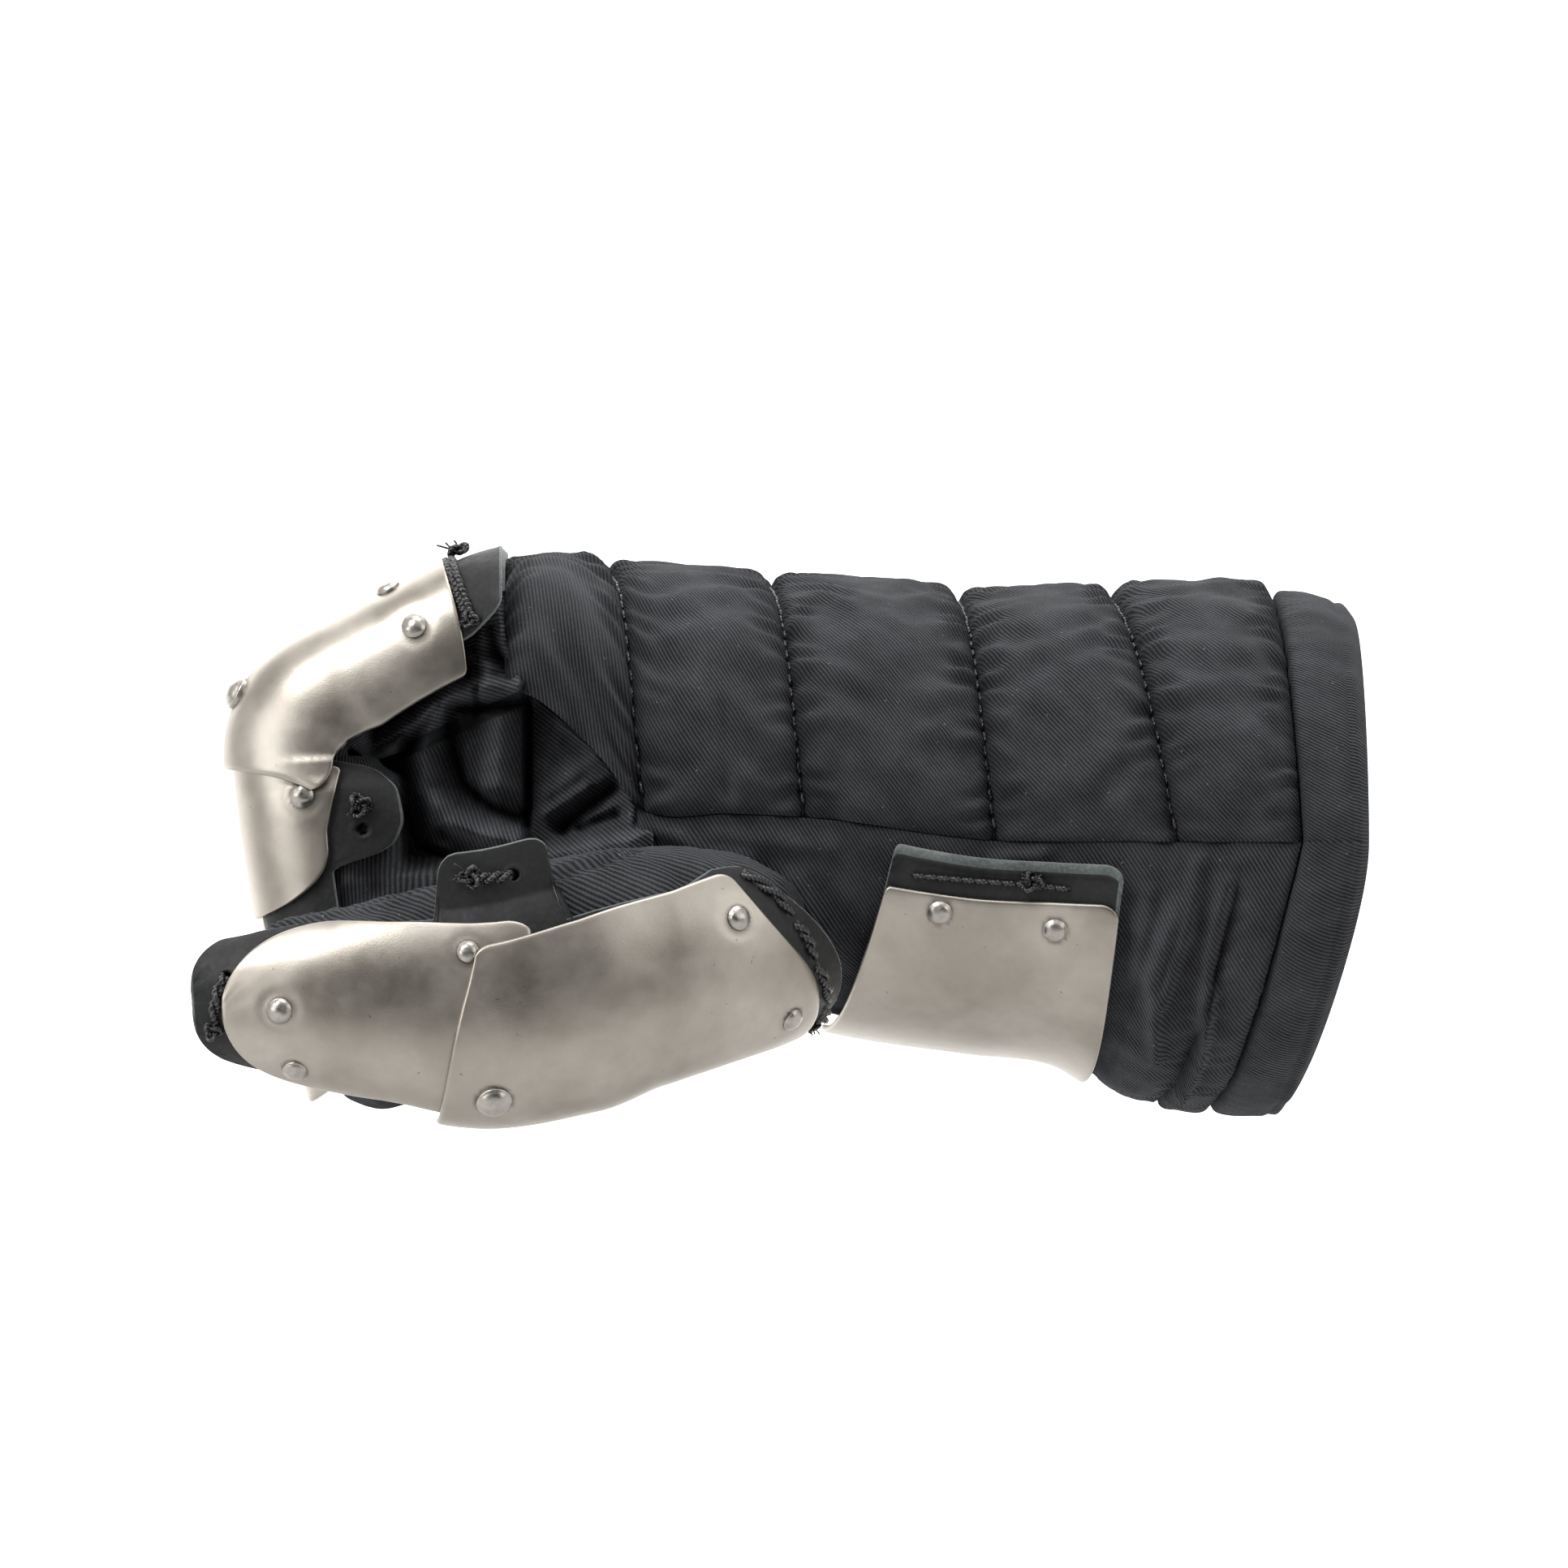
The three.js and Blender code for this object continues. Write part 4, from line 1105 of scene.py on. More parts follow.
@dataclass
class Palm:
    """The palm's cloth, gathered into a seam before the cuff."""

    finishes: Finishes
    wall: float = 2.2
    puff: float = 2.2
    rows: int = 230
    around: int = 170
    folds: tuple[Fold, ...] = (
        Fold(((-24.5, 1), (-27, -12), (-31, -24)), 1.3, 1.1),
        Fold(((-20, -4), (-22.5, -16), (-24, -28)), 1.2, 1.0),
        Fold(((-28.5, -8), (-33, -20), (-32, -34)), 1.5, 1.3),
        Fold(((-22.5, -22), (-24, -34), (-27, -40)), 1.2, 1.1),
        Fold(((-33.5, -6), (-35.5, -20)), 2.0, 0.9),
        Fold(((-110, 4), (-90, 2)), 1.8, 0.7),
        Fold(((-96, -4), (-90, -16)), 2.2, 0.8),
        Fold(((-120, 6), (-112, 1), (-104, 0)), 1.6, 1.1),
        Fold(((-60, 0), (-52, 1.5)), 1.6, 0.7),
    )

    def skin(self, inside: bool) -> tuple[Array, Array, Array]:
        """Lay out the palm from the fingers to the cuff.

        Args:
            inside: the inner face, or else the outer one.

        Returns:
            The points, the pattern coordinates and the painted shade at the seams.
        """
        front, seam = Line(PALM_FRONT, PALM_FRONT, PALM_FRONT), Line(-16, -16, -31)
        share = np.concatenate([np.linspace(0, 1, self.rows - 50), 1 + np.linspace(0.02, 1, 50)])[:, None]
        around = np.linspace(-np.pi + 0.004, -0.004, self.around)[None]
        x0, x1, x2 = front.at(around), seam.at(around), CHANNELS[-1].at(around) - 0.15
        x = np.where(share <= 1, x0 + (x1 - x0) * share, x1 + (x2 - x1) * (share - 1))
        puffed = np.where(share <= 1, np.clip((share - 0.9) / 0.1, 0, 1), share - 1)
        pillow = np.sqrt(np.clip(1 - (2 * puffed - 1) ** 2, 0, 1)) * np.minimum(1, -np.sin(around) / 0.3)
        arc = around * PALM_ARC
        if inside:
            out = np.full(x.shape, -self.wall)
        else:
            out = self.puff * pillow * np.where(share <= 1, 0.6, 1.0)
            near = bell(x - x1, 3.6) + 0.7 * bell(x - x2, 3.0)
            near = near * (0.25 + 0.75 * smoothstep(-np.sin(around), 0.1, 0.5))
            gather = np.sin(arc * TURN / 4.6 + 2.6 * ripple(arc, x, 18, 41)) * (0.7 + 0.5 * ripple(arc, x, 12,
                    42))
            out = out + 0.55 * gather * near + 0.55 * ripple(x, arc, 24, 43) + 0.22 * ripple(x, arc, 9, 44)
            base = hand_point(x, around, 0.0)
            out = out + 2.1 * relief(base[..., 0], base[..., 2], self.folds) * (base[..., 1] < 10)
            out = out * np.minimum(1, -np.sin(around) / 0.06)
        points = hand_point(x, around, out)
        turn = 1.05
        uv = turned(x, arc, turn)
        # Painted shade: darker along the gathered seam, at the edge by the cuff's channel, and along the side seams.
        shade = 1 - 0.7 * bell(x - x1, 1.0) * smoothstep(-np.sin(around), 0.05, 0.4)
        shade = shade - 0.5 * bell(x - x2, 1.0)
        shade = shade * (1 - 0.55 * bell(np.sin(around), 0.02))
        return points, uv, shade

    def build(self, web: "Web") -> None:
        """Build the palm as a wall of cloth, behind the gathered web at its front."""
        outer, uv, shade = self.skin(False)
        inner, _, _ = self.skin(True)
        outer, inner = web.push(outer, 1.6), web.push(inner, 2.8)
        build("palm_cloth", sheet(outer, inner, uv, shade), (self.finishes.twill,),
                ("palm_panel",))


@dataclass
class CuffBinding:
    """The rolled, padded band round the cuff's mouth."""

    finishes: Finishes
    rise: float = 2.0
    inside: float = 5.0
    around: int = 300
    profile: tuple[tuple[float, float], ...] = (
        (0, -0.3), (0.03, 0.3), (0.12, 0.75), (0.4, 1), (0.7, 0.8), (0.92, 0.1), (1, -1), (0.85, -2.3), (0.4,
        -2.5), (0, -2.4),
        (0, -1.2), (0, -0.3),
    )

    def build(self) -> None:
        """Carry the hem's profile round the mouth, with shallow twisted wrinkles."""
        profile = spline(np.array(self.profile), 64)
        around = np.linspace(0, 2 * np.pi, self.around)[:, None]
        share, height = profile[None, :, 0], profile[None, :, 1]
        a, b = CHANNELS[-1].at(around) + 0.15, RIM.at(around)
        x = a + (b - a) * share
        arc = around * HAND_ARC
        out = np.where(height > 0, height * self.rise, height * self.inside / 2.5)
        on_top = smoothstep(height, -0.6, 0.5)
        wrinkle = np.sin(arc * TURN / 4.2 + share * 2.0 + 2.0 * ripple(arc, share * 12, 20, 61))
        out = out + 0.16 * wrinkle * on_top * bell(share, 0.3) + 0.3 * ripple(arc, share * 14, 18,
                62) * on_top
        out = out + 0.45 * on_top * bell(share - 0.86, 0.07) - 0.35 * on_top * bell(share - 0.74, 0.04)
        points = hand_point(x, around, out)
        turn = 0.5
        across = share * 14 + height * 2
        uv = turned(across, arc, turn)
        # Painted shade: darker along the seam where the binding meets the quilted back.
        shade = 1 - 0.6 * bell(share, 0.05) * (height > -0.5)
        middle = points.mean(axis=1, keepdims=True)
        shape = surface(points, uv, shade, points - middle)
        piece = build("cuff_binding_cloth", shape, (self.finishes.twill,), ("cuff_binding",))


@dataclass
class Stall:
    """The cloth sheath of a finger or the thumb."""

    finishes: Finishes
    digit: Digit
    start: float = 0.0
    folds: tuple[Fold, ...] = ()
    rows: int = 230
    around: int = 120
    rib_turn: float = 0.1
    longer: float = 0.0
    sunk: float = 0.0

    def skin(self, out: float) -> tuple[Array, Array, Array, Array]:
        """Lay out the sheath from its mouth to its rounded tip.

        Args:
            out: height above the cloth's surface.

        Returns:
            The points, s and the angle of each, and a share of the rounding at the tip.
        """
        digit = self.digit
        round_from = digit.length - TIP_ROUND
        s = np.linspace(self.start, round_from, self.rows - 24)
        share = np.sin(np.linspace(0, np.pi / 2, 25))[1:]
        whole = np.concatenate([s, round_from + share * (TIP_ROUND + out + self.longer)])[:, None]
        shrink = np.concatenate([np.ones(len(s)), np.sqrt(np.clip(1 - share**2, 0, 1))])[:, None]
        angle = np.linspace(-np.pi, np.pi, self.around)[None]
        reach = np.minimum(whole, digit.length + 8)
        return digit.point(reach, angle, out * shrink, np.maximum(shrink, 1e-4)), whole, angle, shrink

    def build(self, clear: "Web | None" = None) -> None:
        """Build the sheath as a wall of cloth, with its folds and ribs."""
        outer, s, angle, shrink = self.skin(0.0)
        inner, _, _, _ = self.skin(-CLOTH)
        degrees = np.degrees(angle)
        fold = relief(s, degrees / 6.0, self.folds) + 0.35 * ripple(s, angle * DIGIT_ARC, 13,
                71) + 0.18 * ripple(s, angle * DIGIT_ARC, 5, 72)
        away = unit(outer - inner)
        fold = fold - self.sunk * (1 - smoothstep(s, self.start, self.start + 22))
        outer = outer + away * (fold * np.minimum(shrink * 1.5, 1))[..., None]
        inner = inner - away * (self.sunk * (1 - smoothstep(s, self.start, self.start + 22)))[..., None]
        arc = np.broadcast_to(angle * DIGIT_ARC, s.shape[:1] + angle.shape[1:])
        along = np.broadcast_to(s, arc.shape)
        turn = self.rib_turn
        uv = turned(along, arc, turn)
        if clear is not None:
            outer, inner = clear.push(outer, 1.4), clear.push(inner, 2.6)
        # Painted shade: darker in the folds' valleys and where the sheath's root sinks back.
        shade = np.clip(1 + 0.22 * np.minimum(fold, 0), 0.3, 1)
        shape = sheet(outer, inner, uv, shade, (Side.START,))
        name = self.digit.name
        build(name + "_stall_cloth", shape, (self.finishes.twill,), (name + "_stall",))


@dataclass
class Web:
    """The cloth gathered between the first finger, the thumb and the palm, as a relief facing the thumb's side."""

    finishes: Finishes
    x_from: float = -172.0
    x_to: float = -120.6
    z_from: float = -4.0
    z_to: float = 47.0
    rows: int = 215
    columns: int = 215
    folds: tuple[Fold, ...] = (
        Fold(((-143.3, 29.8), (-147, 30.4), (-150, 30.2), (-156.2, 28.9), (-161.6, 25.1), (-166.9, 21.4),
                (-172.2, 18.2)), 2.3, 10.5),
        Fold(((-147.8, 46), (-147.0, 39), (-145.4, 34.8), (-143.6, 31.5)), 1.7, 9.0),
        Fold(((-151.0, 43), (-150.6, 37), (-150.0, 33.5)), 2.4, 7.0),
        Fold(((-152.6, 36), (-150.4, 34.4), (-147.0, 33.4)), 0.9, 2.5),
        Fold(((-149.3, 41), (-148.4, 36.6), (-145.6, 32.6)), 0.7, -3.5),
        Fold(((-143.8, 27.6), (-150, 26.9), (-156.7, 26.6)), 0.9, -5.0),
        Fold(((-158.4, 27.0), (-164.9, 18.4)), 0.8, -3.5),
        Fold(((-158.6, 25.2), (-161.4, 18.4), (-160.8, 12.2), (-157.1, 6.9), (-150.9, 4.4), (-145.1, 3.2)),
                2.5, 9.0),
        Fold(((-156.7, 25.0), (-155.8, 18.4), (-154.2, 13.1), (-149.1, 9.0), (-144.2, 7.2)), 1.2, -6.5),
        Fold(((-147.6, 24.6), (-148.2, 18.4), (-148.2, 13.2)), 3.6, 7.0),
        Fold(((-165.0, 8), (-162, 1.8), (-155, -0.6), (-148, -1.2)), 0.9, -5.0),
        Fold(((-142.9, 30), (-142.8, 18), (-142.9, 6)), 0.7, -6.0),
        Fold(((-136.7, 5.3), (-132.2, 9.1), (-127.8, 12.4)), 1.4, -7.0),
        Fold(((-133.4, 5.4), (-127.3, 7.7)), 1.0, -5.0),
        Fold(((-136.7, 24.0), (-129.8, 18.6), (-125.4, 14.2), (-123.8, 9.4), (-124.4, 6.4)), 1.1, 2.4),
        Fold(((-139.0, 12), (-131.5, 17.5)), 2.0, 1.8),
        Fold(((-139.6, 8), (-132.5, 12.6)), 1.0, 1.6),
    )
    shelf_x: tuple[float, ...] = (-150, -146, -141, -133, -124, -121.5)
    shelf_z: tuple[float, ...] = (-4, 0.6, 2.8, 4.3, 6.0, 7.2)

    def depth(self, x: Array, z: Array) -> Array:
        """Give Y of the relief: a slanting base, a shelf of cloth along the thumb, and ridges and valleys."""
        base = 38.0 + 6.5 * smoothstep(x, -168, -154) + 6.0 * smoothstep(x, -143, -121)
        base = base - 2.4 * np.exp(-np.clip(x + 142.9, 0, None) / 3.0) * smoothstep(x, -143.2, -142.4)
        base = base + 0.5 * ripple(x, z, 9, 81) + 0.2 * ripple(x, z, 4, 82)
        under = np.interp(x, self.shelf_x, self.shelf_z) - z
        shelf = 8.0 * smoothstep(under, -0.3, 2.6) * smoothstep(x, -149, -144)
        crease = -145.8 + 0.29 * (38.9 - z)
        hidden = 1.5 * np.clip(z - HAND.at("seam", x) + 0.8, 0, None) * smoothstep(x - crease, -1.0, 1.4)
        hidden = hidden + 5.0 * smoothstep(x, -125.0, -121.0)
        return -(base + relief(x, z, self.folds) + shelf - hidden)

    def push(self, points: Array, behind: float) -> Array:
        """Move points back behind the relief where it lies over them.

        Args:
            points: points in millimetres.
            behind: how far behind they go.

        Returns:
            The moved points.
        """
        x, y, z = points[..., 0], points[..., 1], points[..., 2]
        over = smoothstep(x, -166.5, -163.5) * smoothstep(-x, 121.5, 126) * smoothstep(z, -3,
                1) * smoothstep(-z, -44, -40)
        roll = smoothstep(x, -172, -169) * smoothstep(z - (18.5 + 0.62 * (x + 171)), -1.5,
                0.5) * smoothstep(-z, -44, -40)
        over = np.clip(np.maximum(over, roll), 0, 1) * (y < -20)
        target = np.maximum(y, self.depth(x, z) + behind)
        moved = points.copy()
        moved[..., 1] = y + (target - y) * over
        return moved

    def build(self) -> None:
        """Build the relief as a wall of cloth, tucked in along its border."""
        x = np.linspace(self.x_from, self.x_to, self.columns)[None]
        upper = 28.5 + 17.5 * smoothstep(x, -153, -150) - 0.62 * np.clip(-157 - x, 0, 30)
        high = np.minimum(upper + 7, self.z_to)
        z = self.z_from + (high - self.z_from) * np.linspace(0, 1, self.rows)[:, None]
        y = self.depth(x, z)
        lower = -4 + 21 * smoothstep(-x, 164.5, 169)
        tuck = np.clip(z - upper - 3, 0, None) + np.clip(lower - z, 0, None)
        y = np.minimum(y + 2.5 * tuck, -33.0)
        x, y, z = np.broadcast_arrays(x, y, z)
        outer = np.stack([x, y, z], axis=-1)
        inner = outer + np.array([0, WEB_WALL, 0])
        turn = 1.2 - 0.9 * smoothstep(z - 0.45 * (x + 150), 24, 27) - 0.55 * smoothstep(x, -144, -142)
        uv = turned(x, z, turn)
        # Painted highlight and painted shade: cloth that stands out furthest towards the thumb's side is painted
        # lighter, and the deep pockets are painted darker.
        shade = np.clip(1.5 - 0.085 * (y + 52), 0.3, 1.6)
        build("thumb_web_cloth", sheet(outer, inner, uv, shade), (self.finishes.twill,),
                ("palm_panel",))


# ---------------------------------------------------------------- armour


def standing(digit: Digit, s: Array, degrees: Array, out: Array, fold: float) -> Array:
    """Give a point of a strip whose tab leaves the digit at a fold and stands straight up from there.

    Args:
        digit: the digit.
        s: place along it.
        degrees: angle; past the fold it counts as length up the tab.
        out: height above the surface.
        fold: the angle of the fold.

    Returns:
        The points.
    """
    bent = np.maximum(degrees, fold)
    arc = np.radians(bent - degrees) * 13.0
    foot = digit.point(s, np.radians(bent), LEATHER_IN)
    normal = unit(digit.point(s, np.radians(bent), LEATHER_IN + 1.0) - foot)
    back = unit(digit.point(s, np.radians(bent - 2.0), LEATHER_IN) - foot)
    share = np.clip(arc / 3.0, 0, 1)
    upright = np.where(arc < 3.0, 3.0 * (share**3 - share**4 / 2), arc - 1.5)[..., None]
    over = smoothstep(arc, 0, 3)[..., None]
    facing = unit((1 - over) * normal + over * np.array([0.0, -1.0, 0.12]))
    return foot + back * (arc[..., None] - upright) + np.array([0.0, -0.06,
            1.0]) * upright + facing * (out - LEATHER_IN)[..., None]


@dataclass
class Armour:
    """Plates with their rivets and the leather below them, on one digit or on the palm."""

    finishes: Finishes
    name: str
    digit: Digit | None = None

    def point(self, s: Array, degrees: Array, out: Array) -> Array:
        """Give a point above the digit's or the hand's surface."""
        angle = np.radians(degrees)
        if self.digit is None:
            return hand_point(s, angle, out)
        ahead = unit(self.digit.centre(np.array(0.5)) - self.digit.centre(np.array(0.0)))
        return self.digit.point(np.maximum(s, 0.0), angle, out) + np.minimum(s, 0.0)[..., None] * ahead

    def lift(self, rows: tuple[float, float, float], s: Array) -> Array:
        """Give the lift of a plate that laps over the next: height, from, to."""
        height, low, high = rows
        return height * smoothstep(s, low, high) if height else np.zeros(np.shape(s))

    def grid(self, patch: Patch, cells: tuple[int, int], radius: float, soften: float) -> tuple[Array, ...]:
        """Lay a fine grid over a patch, with lines close together at its edges.

        Args:
            patch: the outline.
            cells: cells along and across.
            radius: rounding of the edges.
            soften: rounding of the outline's corners, as a share of the length.

        Returns:
            s, the angle, the distance from the edge, and the two distances across the patch, in millimetres.
        """
        length = abs(patch.end[1] - patch.start[1])
        u = edge_lines(length, cells[0], radius)[:, None]
        probe_s, probe_a = patch.lay(np.full((1, 2), 0.5), np.array([[-1.0, 1.0]]))
        ends = np.linspace(probe_a[0, 0], probe_a[0, 1], 40)
        width = np.linalg.norm(np.diff(self.point(np.full(40, probe_s[0, 0]), ends, 3.0), axis=0),
                axis=1).sum()
        v = 2 * edge_lines(width, cells[1], radius)[None] - 1
        u, v = np.broadcast_arrays(u, v)
        s, angle = patch.lay(u.copy(), v.copy(), soften)
        edge = np.minimum(np.minimum(u, 1 - u) * length, (1 - np.abs(v)) * width / 2)
        return s, angle, edge, u * length, v * width / 2

    def plate(self, name: str, patch: Patch, rivets: tuple[Rivet, ...], lift: tuple[float, float, float] = (0,
            0, 1),
              cells: tuple[int, int] = (90, 70), soften: float = 0.03) -> None:
        """Build a steel plate with rounded edges and its rivets.

        Args:
            name: the piece's name, as its solid's.
            patch: its outline.
            rivets: its rivets.
            lift: how it rises over the next plate.
            cells: fineness of the grid.
            soften: rounding of its corners.
        """
        s, angle, edge, a, b = self.grid(patch, cells, PLATE_EDGE, soften)
        rounded = np.sqrt(np.clip(1 - np.clip(1 - edge / PLATE_EDGE, 0, 1) ** 2, 0.02, 1))
        uneven = 0.03 * ripple(a, b, 26, len(name)) + 0.009 * ripple(a, b, 8, len(name) + 7)
        middle = PLATE_IN + STEEL / 2 + self.lift(lift, s) + uneven
        outer = self.point(s, angle, middle + rounded * STEEL / 2)
        inner = self.point(s, angle, middle - rounded * STEEL / 2)
        shade = np.ones(s.shape)
        heads = []
        for i, rivet in enumerate(rivets):
            foot = PLATE_IN + STEEL + float(self.lift(lift, np.array(rivet.s))) + 0.02
            at = self.point(np.array(rivet.s), np.array(rivet.angle), foot)
            normal = unit(self.point(np.array(rivet.s), np.array(rivet.angle), foot + 1) - at)
            away = np.linalg.norm(outer - at, axis=-1)
            # Painted shade: a dark ring on the plate round each rivet's head.
            shade = shade * (1 - 0.6 * bell(away - rivet.radius, 0.3))
            dimple = 0.12 * bell(away - rivet.radius - 0.8, 1.0)
            outer = outer - normal * dimple[..., None]
            heads.append(rivet_shape(at, normal, rivet, 11 * i + len(name)))
        shape = sheet(outer, inner, np.stack([a, b], axis=-1), shade)
        for head in heads:
            shape = shape.plus(head, 1)
        build(name + "_steel", shape, (self.finishes.steel, self.finishes.bright), (name,))

    def leather(self, name: str, patch: Patch, cells: tuple[int, int] = (150, 80), soften: float = 0.015,
                holes: tuple[tuple[float, float, float],
                        ...] = (), fold: float | None = None, flap: float = 0.0,
                suede: float = 0.0) -> None:
        """Build a leather strip with slack edges and a rough cut rim.

        Args:
            name: the piece's name, as its solid's.
            patch: its outline.
            cells: fineness of the grid.
            soften: rounding of its corners.
            holes: awl holes as s, angle and radius.
            fold: the angle past which a tab stands up, if one does.
            flap: how far its first edge stands off the cloth.
            suede: width of the rough band turned out along its upper edge.
        """
        s, angle, edge, a, b = self.grid(patch, cells, HIDE_EDGE, soften)
        rounded = np.sqrt(np.clip(1 - 0.75 * np.clip(1 - edge / HIDE_EDGE, 0, 1) ** 2, 0.1, 1))
        rough = 0.12 * ripple(a, b, 2.2, 91) * np.exp(-edge / 0.8)
        middle = LEATHER_IN + LEATHER / 2 + 0.15 * ripple(a, b, 12, 92) + rough + flap * (1 - smoothstep(s,
                -3.5, 4))
        if suede:
            middle = middle + 1.3 * smoothstep(b, b.max() - suede - 0.8, b.max() - suede + 0.5)
        middle = np.maximum(middle, LEATHER_IN + LEATHER / 2 - 0.05)

        def lay(out: Array) -> Array:
            """Give the strip's points at a height."""
            return self.point(s, angle, out) if fold is None else standing(self.digit, s, angle, out, fold)

        outer, inner = lay(middle + rounded * LEATHER / 2), lay(middle - rounded * LEATHER / 2)
        shade = np.ones(s.shape) * (1 + 0.25 * bell(edge, 1.0))
        for hole_s, hole_angle, radius in holes:
            at = self.point(np.array(hole_s), np.array(hole_angle), LEATHER_IN + LEATHER)
            if fold is not None:
                at = standing(self.digit, np.array(hole_s), np.array(hole_angle),
                        np.array(LEATHER_IN + LEATHER), fold)
            away = np.linalg.norm(outer - at, axis=-1)
            inward = unit(outer - inner)
            outer = outer - inward * (1.7 * smoothstep(-away, -radius, -0.6 * radius))[..., None]
            outer = outer + inward * (0.25 * bell(away - radius * 1.25, 0.4))[..., None]
            # Painted shade: each awl hole is only a dent, painted near black for the depth of a hole.
            shade = shade * (1 - 0.93 * smoothstep(-away, -radius, -0.65 * radius))
        shape = sheet(outer, inner, np.stack([a, b], axis=-1), shade, rim_slot=1)
        near = (edge.reshape(-1)[shape.quads[: len(shape.quads) // 2 * 2] % edge.size].min(axis=1) < CUT_BAND)
        if suede:
            near = near | (b.reshape(-1)[shape.quads[: len(near)] % b.size].min(axis=1) > b.max() - suede)
        shape.slots[: len(near)] = np.where(near, 1, shape.slots[: len(near)])
        build(name + "_hide", shape, (self.finishes.leather, self.finishes.cut_edge), (name,))


FINGERS = (
    ("index", -45, 0, 28.5, 59, 26),
    ("middle", -15, 0.6, 28.5, 60, 58),
    ("ring", 15, 1.2, 27.5, 55, 50),
    ("little", 45, 3.5, 24, 44, 38),
)


@dataclass
class FingerArmour:
    """One finger: its sheath, two plates and the leather strip."""

    finishes: Finishes
    finger: Finger

    def build(self, web: Web | None) -> None:
        """Build the finger's pieces from the knuckle to the tip."""
        finger = self.finger
        _, knuckle, joint_in, joint_out, length = finger.marks
        fine = finger.name == "index"
        pads = (Fold(((joint_out + 6, 14.5), (joint_out + 22, 15.5)), 1.6, 1.2),
                Fold(((joint_out + 9, 19), (joint_out + 26, 19)), 1.3, -1.0))
        Stall(self.finishes, finger, folds=pads, longer=3.6 if fine else 0.0).build(web if fine else None)
        armour = Armour(self.finishes, finger.name, finger)
        cells = (90, 70) if fine else (50, 40)
        near = Patch(
            (knuckle + 3.5, knuckle, knuckle + 3.5), (joint_in + 9.6, joint_in + 5.2, joint_in + 9.6),
            ((0, -98, 101), (0.62, -98, 101), (0.8, -93, 94), (1, -86, 87)), (SQUARE_END, (0.1, 0.2)),
        )
        armour.plate(
            finger.name + "_near_plate", near,
            (Rivet(knuckle + 9.5, 12), Rivet(knuckle + 8.5, 50), joint_rivet(joint_in + 2, 4)),
            (LAP + 0.3, joint_in - 16, joint_in + 1.5), cells,
        )
        tip = joint_out + finger.plate
        far = Patch(
            (joint_out + 1.4, joint_out - 1.8, joint_out + 1.4), (tip, tip, tip),
            ((0, -98, 98), (0.5, -80, 80), (1, -77, 77)), (SQUARE_END, (10 / finger.plate, 1)),
        )
        armour.plate(finger.name + "_far_plate", far, (Rivet(joint_out + 6, 63), Rivet(joint_out + 6, -42)),
                cells=cells)
        end = length - 5
        leather = Patch(
            (-0.4, -1.1, -0.8), (end, end, end),
            (
                (0, -74, 74), (0.3, -70, 70), ((joint_out + 1.0) / end, -80, 84), ((joint_out + 1.8) / end,
                -112, 113),
                ((joint_out + 3.5) / end, -122, 130), ((joint_out + 6.5) / end, -127,
                138), ((joint_out + 13) / end, -126, 138),
                ((joint_out + 16.5) / end, -120, 132), ((joint_out + 18.4) / end, -108,
                118), ((joint_out + 19.2) / end, -78, 80),
                (1, -78, 78),
            ),
            ((0.08, 0.3), (0.1, 0.6)),
        )
        holes = ((joint_out + 13.0, 110, 1.15),)
        armour.leather(finger.name + "_leather", leather, (170, 80) if fine else (80, 50), 0.012, holes,
                flap=1.5)


